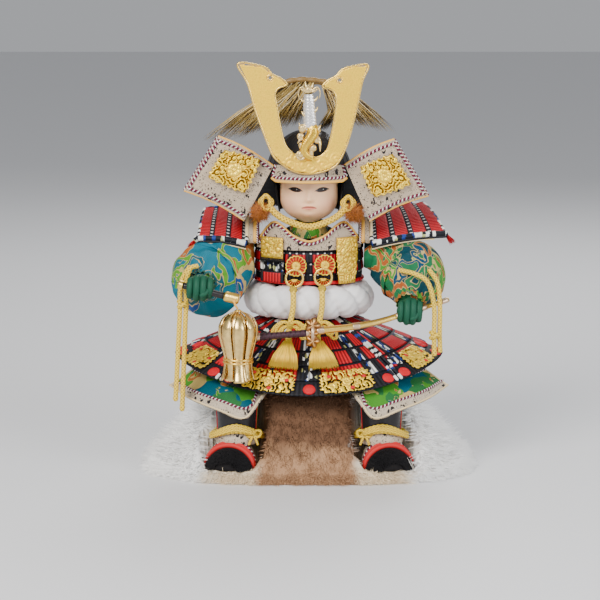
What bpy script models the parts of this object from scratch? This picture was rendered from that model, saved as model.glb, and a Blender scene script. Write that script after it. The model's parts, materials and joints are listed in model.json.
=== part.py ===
"""Seated warrior doll in laced armour on a fur covered seat, built in metres with Z up."""

import math

import bmesh
import bpy
from mathutils import Vector

# Scale and clearances
MM = 0.001
GAP = 0.3
RING_SEGMENTS = 24

# Seat and fur, in millimetres
BLOCK_HALF_WIDTH = 54.0
BLOCK_FRONT = -33.5
BLOCK_BACK = 46.0
BLOCK_TOP = 61.0
FUR_THICKNESS = 10.0
FUR_TOP = BLOCK_TOP + GAP + FUR_THICKNESS
FUR_HALF_WIDTH = 143.0
FUR_FRONT = -108.0
FUR_BACK = 98.0
APRON_TOP = 9.0

# Body core: height, half width, half depth
CORE_BOTTOM = FUR_TOP + GAP
CORE_PROFILE = (
    (CORE_BOTTOM, 32.0, 24.0),
    (100.0, 33.0, 25.0),
    (130.0, 31.0, 23.0),
    (166.0, 31.0, 23.0),
    (188.0, 38.0, 27.0),
    (203.0, 35.0, 25.0),
    (212.0, 20.0, 17.0),
    (216.0, 11.0, 11.0),
    (223.0, 10.0, 10.0),
)
CORE_Y = -3.0

# Cuirass
CUIRASS_BOTTOM = 166.5
CUIRASS_TOP = 204.5
CUIRASS_RX = 49.0
CUIRASS_RY = 40.0

# Sash
SASH_Z = 149.6
SASH_RADIUS_H = 13.0
SASH_RADIUS_V = 14.6
SASH_LOBE = 0.9

# Skirt: waist and hem ellipses
SKIRT_TOP = 133.5
SKIRT_THICKNESS = 3.0
WAIST_RX = 31.7
WAIST_RY = 23.7
HEM_RX = 116.0
HEM_FRONT = 84.0
HEM_BACK = 62.0
HEM_Z_FRONT = 75.0
HEM_Z_SIDE = 99.0
HEM_Z_BACK = 82.0
SKIRT_ROWS = 5

# Legs
FOOT_X = 64.0
SHIN_Y = -62.0
SHOE_TOP = 32.4
LEG_RADIUS = 13.6
SHIN_INNER = 14.3
SHIN_THICKNESS = 2.8

# Head and helmet
HEAD_CENTRE_Y = -20.0
HEAD_RX = 26.0
HEAD_RY = 28.0
HEAD_HEIGHT = 58.7
HEAD_BASE = CORE_PROFILE[-1][0] + GAP
HEAD_TOP = HEAD_BASE + HEAD_HEIGHT
RIM_SHARE = 0.6763
HELMET_ROOM = 7.0
CROWN_ROOM = 16.0
BOWL_THICKNESS = 4.0
BOWL_CENTRE_Y = HEAD_CENTRE_Y + 4.0
BOWL_BASE = HEAD_BASE + RIM_SHARE * HEAD_HEIGHT
BOWL_RX = HEAD_RX + HELMET_ROOM + BOWL_THICKNESS
BOWL_RY = HEAD_RY + HELMET_ROOM + BOWL_THICKNESS
BOWL_RISE = HEAD_TOP - BOWL_BASE + CROWN_ROOM + BOWL_THICKNESS
BOWL_TOP = BOWL_BASE + BOWL_RISE

# Cord sizes
CORD_RADIUS = 2.1
BREAST_CORD_RADIUS = 2.6
CHIN_CORD_RADIUS = 2.1

# Colours as red, green, blue
GOLD = (0.83, 0.62, 0.25)
PALE_GOLD = (0.86, 0.74, 0.45)
RED = (0.52, 0.03, 0.03)
BLACK = (0.015, 0.015, 0.018)
TEAL = (0.03, 0.22, 0.20)
YELLOW = (0.78, 0.58, 0.18)
LEATHER = (0.55, 0.47, 0.42)
FUR_BROWN = (0.42, 0.26, 0.16)
SKIN = (0.93, 0.80, 0.70)


for stale in list(bpy.data.objects):
    bpy.data.objects.remove(stale, do_unlink=True)

doll = bpy.data.collections.new("samurai_doll")
bpy.context.scene.collection.children.link(doll)
cutters = bpy.data.collections.new("cutters")
bpy.context.scene.collection.children.link(cutters)


def paint(obj, colour, metallic, roughness):
    """Give one object its own Principled material."""
    material = bpy.data.materials.new(obj.name + "_finish")
    material.use_nodes = True
    shader = material.node_tree.nodes["Principled BSDF"]
    shader.inputs["Base Color"].default_value = (colour[0], colour[1], colour[2], 1.0)
    shader.inputs["Metallic"].default_value = metallic
    shader.inputs["Roughness"].default_value = roughness
    material.diffuse_color = (colour[0], colour[1], colour[2], 1.0)
    obj.data.materials.append(material)
    return obj


def place(name, data, helper=False):
    """Link new data as an object, in the cutters when it is a helper."""
    obj = bpy.data.objects.new(name, data)
    if helper:
        cutters.objects.link(obj)
        obj.hide_render = True
        obj.display_type = "WIRE"
    else:
        doll.objects.link(obj)
    return obj


def from_faces(name, points, faces, helper=False):
    """Mesh object from points in millimetres."""
    mesh = bpy.data.meshes.new(name)
    mesh.from_pydata([(x * MM, y * MM, z * MM) for x, y, z in points], [], faces)
    mesh.update()
    work = bmesh.new()
    work.from_mesh(mesh)
    bmesh.ops.recalc_face_normals(work, faces=work.faces)
    work.to_mesh(mesh)
    work.free()
    return place(name, mesh, helper)


def loft(name, rings, wrap=False, helper=False):
    """Closed solid through rings of equal length, capped unless it wraps round."""
    count = len(rings[0])
    points = [point for ring in rings for point in ring]
    faces = []
    spans = len(rings) if wrap else len(rings) - 1
    for row in range(spans):
        low = row * count
        high = ((row + 1) % len(rings)) * count
        for col in range(count):
            step = (col + 1) % count
            faces.append((low + col, low + step, high + step, high + col))
    if not wrap:
        faces.append(tuple(range(count)))
        last = (len(rings) - 1) * count
        faces.append(tuple(range(last, last + count)))
    return from_faces(name, points, faces, helper)


def oval(cx, cy, z, rx, ry, count=RING_SEGMENTS):
    """Level elliptical ring."""
    turns = [2 * math.pi * i / count for i in range(count)]
    return [(cx + rx * math.cos(t), cy + ry * math.sin(t), z) for t in turns]


def frames(path):
    """Tangent, side and rise vectors along a path, carried without twist."""
    pts = [Vector(p) for p in path]
    result = []
    side = None
    for i, point in enumerate(pts):
        ahead = pts[min(i + 1, len(pts) - 1)]
        behind = pts[max(i - 1, 0)]
        tangent = (ahead - behind).normalized()
        if side is None:
            guide = Vector((0, 0, 1)) if abs(tangent.z) < 0.9 else Vector((0, 1, 0))
            side = tangent.cross(guide).normalized()
        side = (side - tangent * side.dot(tangent)).normalized()
        result.append((point, tangent, side, side.cross(tangent)))
    return result


def sweep_rings(path, radii, count, lobes=0, depth=0.0, flat=1.0, twist=0.0):
    """Rings of given radii along a path, with optional lobes and flattening."""
    rings = []
    for i, (point, _, side, rise) in enumerate(frames(path)):
        ring = []
        for k in range(count):
            turn = 2 * math.pi * k / count
            reach = radii[i] * (1 + depth * math.cos(lobes * turn + twist * i))
            spot = point + side * (reach * math.cos(turn)) + rise * (reach * flat * math.sin(turn))
            ring.append(tuple(spot))
        rings.append(ring)
    return rings


def panel(name, grid, thickness, offset=1.0, helper=False):
    """Sheet through a grid of points, thickened with Solidify."""
    wide = len(grid[0])
    points = [point for row in grid for point in row]
    faces = []
    for row in range(len(grid) - 1):
        for col in range(wide - 1):
            first = row * wide + col
            faces.append((first, first + 1, first + wide + 1, first + wide))
    mesh = bpy.data.meshes.new(name)
    mesh.from_pydata([(x * MM, y * MM, z * MM) for x, y, z in points], [], faces)
    obj = place(name, mesh, helper)
    solid = obj.modifiers.new("thickness", "SOLIDIFY")
    solid.thickness = thickness * MM
    solid.offset = offset
    solid.use_even_offset = True
    return obj


def tube(name, path, radius, resolution=2):
    """Round cord along a path of points."""
    curve = bpy.data.curves.new(name, "CURVE")
    curve.dimensions = "3D"
    curve.bevel_depth = radius * MM
    curve.bevel_resolution = resolution
    curve.use_fill_caps = True
    curve.resolution_u = 4
    spline = curve.splines.new("POLY")
    spline.points.add(len(path) - 1)
    for i, (x, y, z) in enumerate(path):
        spline.points[i].co = (x * MM, y * MM, z * MM, 1.0)
    return place(name, curve)


def upright_plate(name, loops, front, thickness):
    """Flat outline in X and Z with any holes, extruded towards the back."""
    curve = bpy.data.curves.new(name, "CURVE")
    curve.dimensions = "2D"
    curve.fill_mode = "BOTH"
    curve.extrude = thickness * MM / 2
    for loop in loops:
        spline = curve.splines.new("POLY")
        spline.points.add(len(loop) - 1)
        for i, (x, z) in enumerate(loop):
            spline.points[i].co = (x * MM, z * MM, 0.0, 1.0)
        spline.use_cyclic_u = True
    obj = place(name, curve)
    obj.rotation_euler = (math.pi / 2, 0.0, 0.0)
    obj.location = (0.0, (front + thickness / 2) * MM, 0.0)
    return obj


def upright_slab(name, loop, front, thickness):
    """Solid slab from one outline in X and Z."""
    rings = [[(x, front + back, z) for x, z in loop] for back in (0.0, thickness)]
    return loft(name, rings)


def ball(name, centre, radii, segments=14, rings=8, helper=False):
    """Ellipsoid with its poles on Z."""
    work = bmesh.new()
    bmesh.ops.create_uvsphere(work, u_segments=segments, v_segments=rings, radius=1.0)
    mesh = bpy.data.meshes.new(name)
    for vert in work.verts:
        vert.co = [(centre[i] + vert.co[i] * radii[i]) * MM for i in range(3)]
    work.to_mesh(mesh)
    work.free()
    return place(name, mesh, helper)


def torus(name, centre, major, minor, axis, around=22, across=6, helper=False):
    """Ring with its hole along the X, Y or Z axis."""
    rings = []
    for i in range(around):
        turn = 2 * math.pi * i / around
        ring = []
        for k in range(across):
            wind = 2 * math.pi * k / across
            reach = major + minor * math.cos(wind)
            flat = (reach * math.cos(turn), reach * math.sin(turn), minor * math.sin(wind))
            if axis == "Y":
                flat = (flat[0], flat[2], flat[1])
            if axis == "X":
                flat = (flat[2], flat[0], flat[1])
            ring.append((centre[0] + flat[0], centre[1] + flat[1], centre[2] + flat[2]))
        rings.append(ring)
    return loft(name, rings, wrap=True, helper=helper)


def combine(obj, other, operation):
    """Exact boolean of one object with a helper."""
    step = obj.modifiers.new(operation.lower() + "_" + other.name, "BOOLEAN")
    step.operation = operation
    step.solver = "EXACT"
    step.object = other
    return obj


def cut(obj, other):
    """Take a helper's shape out of an object."""
    return combine(obj, other, "DIFFERENCE")


def fuse(obj, other):
    """Join a helper's shape to an object."""
    return combine(obj, other, "UNION")


def block_cutter(name, low, high):
    """Plain box between two corners, used for cutting."""
    (x0, y0, z0), (x1, y1, z1) = low, high
    rings = []
    for z in (z0, z1):
        rings.append([(x0, y0, z), (x1, y0, z), (x1, y1, z), (x0, y1, z)])
    return loft(name, rings, helper=True)


def smooth_path(knots, steps):
    """Catmull-Rom curve through knots."""
    pts = [Vector(k) for k in knots]
    pts = [pts[0] * 2 - pts[1]] + pts + [pts[-1] * 2 - pts[-2]]
    result = []
    for i in range(1, len(pts) - 2):
        for s in range(steps):
            t = s / steps
            a, b, c, d = pts[i - 1], pts[i], pts[i + 1], pts[i + 2]
            curve = b * 2 + (c - a) * t + (a * 2 - b * 5 + c * 4 - d) * t * t
            curve += (b * 3 - a - c * 3 + d) * t * t * t
            result.append(tuple(curve * 0.5))
    result.append(tuple(pts[-2]))
    return result


# Seat block and fur
block = loft("seat_block", [
    [(-BLOCK_HALF_WIDTH, BLOCK_FRONT, z), (BLOCK_HALF_WIDTH, BLOCK_FRONT, z),
     (BLOCK_HALF_WIDTH, BLOCK_BACK, z), (-BLOCK_HALF_WIDTH, BLOCK_BACK, z)]
    for z in (0.0, BLOCK_TOP)
])
edge = block.modifiers.new("edge", "BEVEL")
edge.width = 3.0 * MM
edge.segments = 2
paint(block, (0.45, 0.32, 0.2), 0.0, 0.6)

FUR_RINGS = (
    (0.0, 0.985, 0.985),
    (3.0, 1.0, 1.0),
    (7.5, 0.985, 0.98),
    (11.0, 0.93, 0.9),
    (24.0, 0.82, 0.84),
    (42.0, 0.68, 0.75),
    (58.0, 0.55, 0.66),
    (67.0, 0.5, 0.6),
    (FUR_TOP, 0.43, 0.53),
)


def fur_ring(z, wide, deep, count=28):
    """Ring of the fur mound with waves round its edge."""
    ring = []
    middle = (FUR_FRONT + FUR_BACK) / 2
    reach = (FUR_BACK - FUR_FRONT) / 2
    for i in range(count):
        t = 2 * math.pi * i / count
        wave = 1 + 0.012 * math.sin(7 * t + 0.6) * (1 - z / FUR_TOP)
        square = (abs(math.cos(t)) ** 3.2 + abs(math.sin(t)) ** 3.2) ** (-1 / 3.2)
        x = FUR_HALF_WIDTH * wide * wave * square * math.cos(t)
        y = middle + reach * deep * wave * square * math.sin(t)
        ring.append((x, y, z))
    return ring


fur = loft("fur_pelt", [fur_ring(z, wide, deep) for z, wide, deep in FUR_RINGS])

cut(fur, block_cutter("block_room", (-BLOCK_HALF_WIDTH - GAP, BLOCK_FRONT - GAP, -1.0),
                      (BLOCK_HALF_WIDTH + GAP, BLOCK_BACK + GAP, BLOCK_TOP + GAP)))
for side in (-1, 1):
    room = loft("foot_room_%s" % ("right" if side < 0 else "left"), [
        oval(side * 66.0, -72.0, APRON_TOP, 30.0, 33.0, 16),
        oval(side * 65.0, -64.0, 40.0, 25.0, 25.5, 16),
        oval(side * 64.0, -62.0, 90.0, 22.0, 24.0, 16),
    ], helper=True)
    cut(fur, room)
paint(fur, FUR_BROWN, 0.0, 0.9)

# Body core
core = loft("body_core", [oval(0, CORE_Y, z, rx, ry) for z, rx, ry in CORE_PROFILE])
core_room = loft("core_room", [
    oval(0, CORE_Y, z, rx + GAP, ry + GAP) for z, rx, ry in CORE_PROFILE
], helper=True)
paint(core, (0.8, 0.76, 0.68), 0.0, 0.8)

# Cuirass around the chest, with a step for each lacing row
cuirass_rings = []
CUIRASS_ROWS = 4
for row in range(CUIRASS_ROWS):
    low = CUIRASS_BOTTOM + (CUIRASS_TOP - CUIRASS_BOTTOM) * row / CUIRASS_ROWS
    high = CUIRASS_BOTTOM + (CUIRASS_TOP - CUIRASS_BOTTOM) * (row + 1) / CUIRASS_ROWS
    taper = 0.96 if row == 0 else 1.0
    cuirass_rings.append(oval(0, CORE_Y, low + 0.01, CUIRASS_RX * taper, CUIRASS_RY * taper, 32))
    cuirass_rings.append(
        oval(0, CORE_Y, high, (CUIRASS_RX - 1.4) * taper, (CUIRASS_RY - 1.4) * taper, 32))
cuirass = loft("cuirass", cuirass_rings)
cut(cuirass, core_room)
paint(cuirass, BLACK, 0.0, 0.4)


def chest_y(x, off):
    """Front of the chest at a distance in front of the cuirass."""
    rx = CUIRASS_RX + off
    ry = CUIRASS_RY + off
    inside = max(0.05, 1 - (x / rx) ** 2)
    return CORE_Y - ry * math.sqrt(inside)


# Wavy leather over the top of the cuirass
LEATHER_TOP = (
    (-45.0, 204.5), (-37.0, 217.0), (-31.0, 222.0), (-24.0, 219.0), (-14.0, 210.5), (0.0, 205.5),
    (14.0, 210.5), (24.0, 219.0), (31.0, 222.0), (37.0, 217.0), (45.0, 204.5),
)
LEATHER_BOTTOM = 197.0
leather_grid = []
for share in (0.0, 0.5, 1.0):
    row = []
    for x, top in LEATHER_TOP:
        z = top + (LEATHER_BOTTOM - top) * share
        row.append((x, chest_y(x, 0.5), z))
    leather_grid.append(row)
leather = panel("breast_leather", leather_grid, 1.8, offset=-1.0)
paint(leather, LEATHER, 0.0, 0.6)

# Sash: three strands twisted round the waist
sash_rings = []
SASH_STEPS = 48
for i in range(SASH_STEPS):
    t = 2 * math.pi * i / SASH_STEPS
    path_rx = 31.0 + GAP + SASH_RADIUS_H + SASH_LOBE
    path_ry = 23.0 + GAP + SASH_RADIUS_H + SASH_LOBE
    ring = []
    for k in range(12):
        wind = 2 * math.pi * k / 12
        lobe = SASH_LOBE * math.cos(3 * wind + 8 * t)
        out = (SASH_RADIUS_H + lobe) * math.cos(wind)
        rise = (SASH_RADIUS_V + lobe) * math.sin(wind)
        ring.append(((path_rx + out) * math.cos(t), CORE_Y + (path_ry + out) * math.sin(t),
                     SASH_Z + rise))
    sash_rings.append(ring)
sash = loft("sash", sash_rings, wrap=True)
paint(sash, (0.9, 0.9, 0.9), 0.0, 0.5)


# Skirt panels: stepped rows flaring from waist to hem
def skirt_point(turn, share, lift=0.0):
    """Point on the skirt at an angle from the front and a share of the way down."""
    front = math.cos(turn)
    side = abs(math.sin(turn))
    hem_ry = HEM_FRONT if front > 0 else HEM_BACK
    hem_z = HEM_Z_FRONT if front > 0 else HEM_Z_BACK
    hem_z = hem_z + (HEM_Z_SIDE - hem_z) * side ** 2.2
    bulge = math.sin(math.pi * share)
    rx = WAIST_RX + (HEM_RX - WAIST_RX) * share + 6.0 * bulge + lift
    ry = WAIST_RY + (hem_ry - WAIST_RY) * share + 5.0 * bulge + lift
    z = SKIRT_TOP + (hem_z - SKIRT_TOP) * share
    return (rx * math.sin(turn), CORE_Y - ry * front, z)


def skirt_panel(name, start, end, columns):
    """One skirt panel between two angles, a step for each lacing row."""
    grid = []
    for row in range(SKIRT_ROWS):
        for share, lift in ((row / SKIRT_ROWS, 0.0), ((row + 0.96) / SKIRT_ROWS, 1.6)):
            line = []
            for col in range(columns + 1):
                turn = math.radians(start + (end - start) * col / columns)
                line.append(skirt_point(turn, share, lift))
            grid.append(line)
    obj = panel(name, grid, SKIRT_THICKNESS, offset=-1.0)
    return paint(obj, RED, 0.0, 0.6)


def skirt_plate(name, panel_obj, turn_mid, turn_half, share_top, share_low):
    """Gold openwork plate fixed on a skirt panel."""
    grid = []
    for share in (share_top, (share_top + share_low) / 2, share_low):
        line = []
        for col in range(5):
            turn = math.radians(turn_mid + turn_half * (col / 2 - 1))
            line.append(skirt_point(turn, share, SKIRT_THICKNESS + 2.4))
        grid.append(line)
    fuse(panel_obj, panel(name, grid, 2.2, offset=0.0, helper=True))


skirt_front = skirt_panel("skirt_front", -41.0, 41.0, 12)
skirt_right = skirt_panel("skirt_right", -116.5, -43.0, 9)
skirt_left = skirt_panel("skirt_left", 43.0, 116.5, 9)
skirt_back = skirt_panel("skirt_back", 121.0, 239.0, 9)
skirt_plate("plate_front_right", skirt_front, -19.5, 14.0, 0.66, 0.97)
skirt_plate("plate_front_left", skirt_front, 19.5, 14.0, 0.66, 0.97)
skirt_plate("plate_side_right", skirt_right, -62.0, 10.0, 0.62, 0.95)
skirt_plate("plate_side_left", skirt_left, 62.0, 10.0, 0.62, 0.95)

# Legs, shin guards, shoes, ankle cords and thigh guards
THIGH_TOP = (
    (-104.0, -20.0, 84.0), (-88.0, -41.0, 82.5), (-70.0, -55.0, 82.3), (-52.0, -64.0, 79.2),
    (-37.0, -68.0, 74.0),
)
THIGH_HEM = (
    (-124.0, -28.0, 71.0), (-105.0, -63.0, 66.0), (-80.0, -84.0, 60.0), (-56.0, -94.0, 54.5),
    (-41.0, -89.0, 70.5),
)
LEG_PATH = (
    (-24.0, -6.0, 87.0), (-40.0, -27.0, 84.0), (-53.5, -43.5, 76.5), (-61.0, -55.0, 67.5),
    (-64.0, SHIN_Y, 56.0), (-64.0, SHIN_Y, 44.0), (-64.0, SHIN_Y, SHOE_TOP + GAP),
)
LEG_RADII = (13.0, 13.5, 13.5, 13.2, 13.0, LEG_RADIUS, 12.0)


def shin_point(side, turn, z, reach):
    """Point round the shin, the angle measured from the front."""
    return (side * FOOT_X + reach * math.sin(turn), SHIN_Y - reach * math.cos(turn), z)


for side, word in ((-1, "right"), (1, "left")):
    path = [(-side * x, y, z) for x, y, z in LEG_PATH]
    leg = loft("leg_" + word, sweep_rings(path, LEG_RADII, 14))
    cut(leg, core_room)
    wider = [radius + 3 * GAP for radius in LEG_RADII]
    cut(fur, loft("leg_room_" + word, sweep_rings(path, wider, 14), helper=True))
    paint(leg, (0.05, 0.09, 0.08), 0.0, 0.8)

    shin_grid = []
    for z, reach in ((37.0, SHIN_INNER), (45.0, SHIN_INNER + 0.4), (53.0, SHIN_INNER + 0.8),
                     (60.0, SHIN_INNER + 1.2)):
        row = []
        for k in range(11):
            turn = math.radians(-112 + 22.4 * k)
            peak = 0.0 if z < 59 else 3.0 * math.cos(turn / 2) ** 4
            row.append(shin_point(side, turn, z + peak, reach))
        shin_grid.append(row)
    shin = panel("shin_guard_" + word, shin_grid, SHIN_THICKNESS, offset=1.0)
    paint(shin, BLACK, 0.2, 0.12)

    ankle = torus("ankle_cord_" + word, (side * FOOT_X, SHIN_Y, 42.0),
                  SHIN_INNER + 0.6 + SHIN_THICKNESS + GAP + 1.7, 1.5, "Z", around=20)
    bow = torus("ankle_bow_" + word, (side * FOOT_X, SHIN_Y - 20.8, 41.5), 4.2, 1.3, "Y",
                around=14, helper=True)
    fuse(ankle, bow)
    paint(ankle, YELLOW, 0.0, 0.6)

    shoe_rings = []
    toe_turn = math.radians(14.0)
    for share, half, height in ((0.0, 9.0, 12.0), (0.06, 15.0, 18.0), (0.22, 18.5, 22.6),
                                (0.45, 19.5, 22.9), (0.68, 20.5, 20.0), (0.86, 18.0, 16.0),
                                (0.96, 12.0, 10.5), (1.0, 6.0, 6.0)):
        ring = []
        along = -14.0 + 51.0 * share
        for k in range(14):
            turn = math.pi * (k - 1) / 11 if k > 0 else -0.08
            if k >= 13:
                turn = math.pi + 0.08
            across = half * math.cos(turn)
            lift = max(0.0, height * math.sin(turn))
            if k in (0, 13):
                across *= 0.96
            east = across * math.cos(toe_turn) + along * math.sin(toe_turn)
            ahead = along * math.cos(toe_turn) - across * math.sin(toe_turn)
            base = 1.2 if 0 < k < 13 else 0.0
            z = APRON_TOP + GAP + base + lift * (1 - base / 24.0)
            ring.append((side * (FOOT_X + 1.0 + east), SHIN_Y - ahead, z))
        shoe_rings.append(ring)
    shoe = loft("shoe_" + word, shoe_rings)
    paint(shoe, BLACK, 0.0, 0.9)

    top = [(-side * x, y, z) for x, y, z in THIGH_TOP]
    hem = [(-side * x, y, z) for x, y, z in THIGH_HEM]
    grid = []
    for share in (0.0, 0.35, 0.7, 1.0):
        row = []
        for upper, lower in zip(smooth_path(top, 2), smooth_path(hem, 2)):
            spot = [u + (l - u) * share for u, l in zip(upper, lower)]
            spot[1] -= 1.5 * math.sin(math.pi * share)
            row.append(tuple(spot))
        grid.append(row)
    thigh = panel("thigh_guard_" + word, grid, 2.4, offset=-1.0 if side < 0 else 1.0)
    paint(thigh, TEAL, 0.0, 0.8)

# Shoulder straps, breast plates, shoulder guards
for side, word in ((-1, "right"), (1, "left")):
    strap_path = smooth_path([
        (0, chest_y(44.0, 2.6) - 0.9, 201.5), (0, -27.0, 208.0), (0, -22.0, 217.0),
        (0, -8.0, 220.5), (0, 6.0, 218.5), (0, 14.0, 211.0), (0, 16.6, 203.0), (0, 17.0, 198.0),
    ], 2)
    grid = [[(side * x, y, z) for x in (46.0, 50.5, 55.0)] for _, y, z in strap_path]
    strap = panel("shoulder_strap_" + word, grid, 2.2, offset=0.0)
    paint(strap, LEATHER, 0.0, 0.6)

    width = 10.4 if side < 0 else 10.0
    centre = -33.0 if side < 0 else 34.0
    low = 168.0 if side < 0 else 166.6
    grid = []
    for row in range(6):
        z = 208.0 + (low - 208.0) * row / 5
        half = width if z > 190 else width - (0.0 if side < 0 else 0.09 * (190 - z))
        line = []
        for k in range(5):
            x = centre + half * (k / 2 - 1)
            line.append((x, chest_y(x, 3.0 + 0.5 * (row % 2)), z))
        grid.append(line)
    plate = panel("breast_plate_" + word, grid, 1.8, offset=-1.0)
    paint(plate, GOLD, 0.8, 0.35)

GUARD_RIGHT = ((-55.7, -36.0, 200.0), (-98.0, -30.0, 203.8), (-94.0, 28.0, 223.0),
               (-55.7, 22.0, 222.0))
GUARD_LEFT = ((55.7, -36.0, 200.0), (121.0, -22.0, 207.5), (104.0, 28.0, 228.0),
              (55.7, 22.0, 223.0))
for word, corners in (("right", GUARD_RIGHT), ("left", GUARD_LEFT)):
    a, b, c, d = [Vector(p) for p in corners]
    grid = []
    for row in range(5):
        for share, lift in ((row / 5, 0.0), ((row + 0.95) / 5, 1.3)):
            line = []
            for k in range(6):
                near = a.lerp(b, k / 5)
                far = d.lerp(c, k / 5)
                spot = near.lerp(far, 1 - share)
                spot.z += lift + 3.0 * math.sin(math.pi * share) + 2.0 * math.sin(math.pi * k / 5)
                line.append(tuple(spot))
            grid.append(line)
    guard = panel("shoulder_guard_" + word, grid, 2.4, offset=1.0 if word == "right" else -1.0)
    paint(guard, RED, 0.0, 0.6)

# Rosettes, rings, and breast cords with bow and tassel
ROSETTE_SPOTS = ((-11.5, 183.4, "right"), (14.0, 184.3, "left"))
for x, z, word in ROSETTE_SPOTS:
    loop = []
    for i in range(64):
        turn = 2 * math.pi * i / 64
        reach = 9.6 if i % 4 in (1, 2) else 8.7 if i % 4 == 0 else 8.7
        loop.append((x + reach * math.cos(turn), z + reach * math.sin(turn)))
    rosette_front = CORE_Y - CUIRASS_RY - GAP - 2.3
    rosette = upright_slab("rosette_" + word, loop, rosette_front, 2.4)
    paint(rosette, PALE_GOLD, 1.0, 0.3)

    ring_y = rosette_front - GAP - 1.2
    hoop = torus("ring_" + word, (x - 1.5, ring_y, z - 11.0), 7.6, 1.1, "Y", around=20)
    paint(hoop, GOLD, 1.0, 0.2)

    cord_x = x - 2.5
    sash_front = CORE_Y - 23.0 - GAP - 2 * (SASH_RADIUS_H + SASH_LOBE)
    out = sash_front - GAP - BREAST_CORD_RADIUS + 1.6
    drop = smooth_path([
        (cord_x, ring_y - 4.6, z - 21.6), (cord_x, out + 1.6, z - 25.6), (cord_x, out, SASH_Z),
        (cord_x - 1.5, out - 2.0, 140.0), (cord_x - 3.5, out - 4.0, 130.0),
        (cord_x - 4.0, -65.0, 122.0),
    ], 3)
    cord = loft("breast_cord_" + word,
                sweep_rings(drop, [BREAST_CORD_RADIUS] * len(drop), 8))
    for hand, lean in ((-1, "outer"), (1, "inner")):
        loop_path = [
            (cord_x - 2.5, out - 4.5, 134.0), (cord_x - 2.5 + hand * 5, out - 5.0, 135.5),
            (cord_x - 2.5 + hand * 8.5, out - 5.0, 131.5), (cord_x - 2.5 + hand * 6, out - 4.5, 127.0),
        ]
        bow = loft("bow_%s_%s" % (word, lean),
                   sweep_rings(loop_path, (1.5, 2.6, 3.1, 1.8), 8), helper=True)
        fuse(cord, bow)
    tassel_path = [(cord_x - 4.0, -64.5, 124.0), (cord_x - 4.0, -66.0, 118.0),
                   (cord_x - 4.5, -70.5, 111.0), (cord_x - 5.0, -83.0, 98.0)]
    tassel = loft("tassel_" + word,
                  sweep_rings(tassel_path, (2.2, 4.6, 6.2, 10.0), 12, flat=0.42), helper=True)
    fuse(cord, tassel)
    paint(cord, YELLOW, 0.0, 0.6)

# Collar round the neck
collar = loft("collar", [
    oval(0, CORE_Y - 4.0, 206.2, 19.5, 26.0, 20),
    oval(0, CORE_Y - 3.0, 213.0, 17.5, 22.0, 20),
    oval(0, CORE_Y - 2.0, 218.5, 15.0, 18.0, 20),
])
cut(collar, core_room)
paint(collar, (0.75, 0.62, 0.35), 0.0, 0.7)

# Sleeves and hands
SLEEVES = {
    "right": (
        [(-49.4, -8.0, 190.0), (-60.0, -9.0, 189.5), (-74.0, -18.0, 180.0), (-86.0, -27.0, 172.0),
         (-91.0, -38.0, 169.0), (-93.0, -50.0, 169.5), (-94.0, -61.0, 170.0), (-94.8, -70.5, 169.7)],
        (13.0, 22.0, 29.0, 33.0, 33.0, 28.0, 18.0, 11.0),
    ),
    "left": (
        [(49.4, -8.0, 189.0), (61.0, -8.5, 188.5), (77.0, -13.0, 181.0), (89.0, -20.0, 175.0),
         (93.0, -29.0, 169.0), (93.0, -39.0, 162.0), (91.2, -48.0, 155.5), (89.8, -54.7, 151.3)],
        (12.0, 19.0, 26.0, 30.0, 30.0, 25.0, 17.0, 9.6),
    ),
}
HANDS = {
    "right": ((-95.0, -80.2, 169.5), (13.5, 12.5, 12.5)),
    "left": ((88.5, -64.0, 146.0), (12.5, 11.0, 13.0)),
}
for word, (path, radii) in SLEEVES.items():
    sleeve = loft("sleeve_" + word,
                  sweep_rings(path, radii, 18, lobes=6, depth=0.035, twist=0.5))
    centre, reach = HANDS[word]
    wider = [value + GAP for value in reach]
    cut(sleeve, ball("hand_space_" + word, centre, wider, 16, 10, helper=True))
    paint(sleeve, TEAL, 0.0, 0.8)

BATON_REAR = Vector((-114.0, -82.0, 172.5))
BATON_FRONT = Vector((-61.0, -91.0, 160.5))
SCABBARD_KNOTS = ((9.0, -77.5, 131.0), (35.0, -76.0, 133.5), (62.0, -71.0, 138.0),
                  (88.0, -63.5, 145.0), (108.0, -56.5, 150.0), (123.0, -50.0, 154.0))
hand_right = ball("hand_right", HANDS["right"][0], HANDS["right"][1], 16, 10)
shaft_room = loft("shaft_room", sweep_rings([tuple(BATON_REAR), tuple(BATON_FRONT)],
                                            (2.9 + GAP, 2.9 + GAP), 12), helper=True)
cut(hand_right, shaft_room)
paint(hand_right, (0.02, 0.16, 0.09), 0.0, 0.7)
hand_left = ball("hand_left", HANDS["left"][0], HANDS["left"][1], 16, 10)
scabbard_room = loft("scabbard_room",
                     sweep_rings(SCABBARD_KNOTS, [4.2 + GAP] * 6, 10), helper=True)
cut(hand_left, scabbard_room)
paint(hand_left, (0.02, 0.16, 0.09), 0.0, 0.7)

# Sword: hilt, guard, scabbard
hilt = loft("sword_hilt", sweep_rings(
    [(-45.2, -79.3, 125.5), (-43.0, -79.2, 125.6), (-25.0, -79.0, 127.0), (-3.0, -78.2, 128.6),
     (1.2, -78.0, 129.0)],
    (3.4, 4.0, 3.3, 3.8, 4.4), 12, flat=0.8))
paint(hilt, (0.12, 0.04, 0.05), 0.0, 0.5)
guard_disc = loft("sword_guard", sweep_rings(
    [(1.6, -78.0, 129.2), (3.0, -77.95, 129.35), (4.4, -77.9, 129.5)], (8.6, 9.6, 8.6), 20))
paint(guard_disc, GOLD, 0.9, 0.35)
scabbard = loft("scabbard", sweep_rings(
    [(4.9, -77.8, 130.0)] + list(SCABBARD_KNOTS), (4.2, 4.2, 4.1, 4.0, 3.9, 3.6, 2.6), 12,
    flat=0.75))
paint(scabbard, GOLD, 0.9, 0.3)

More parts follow.
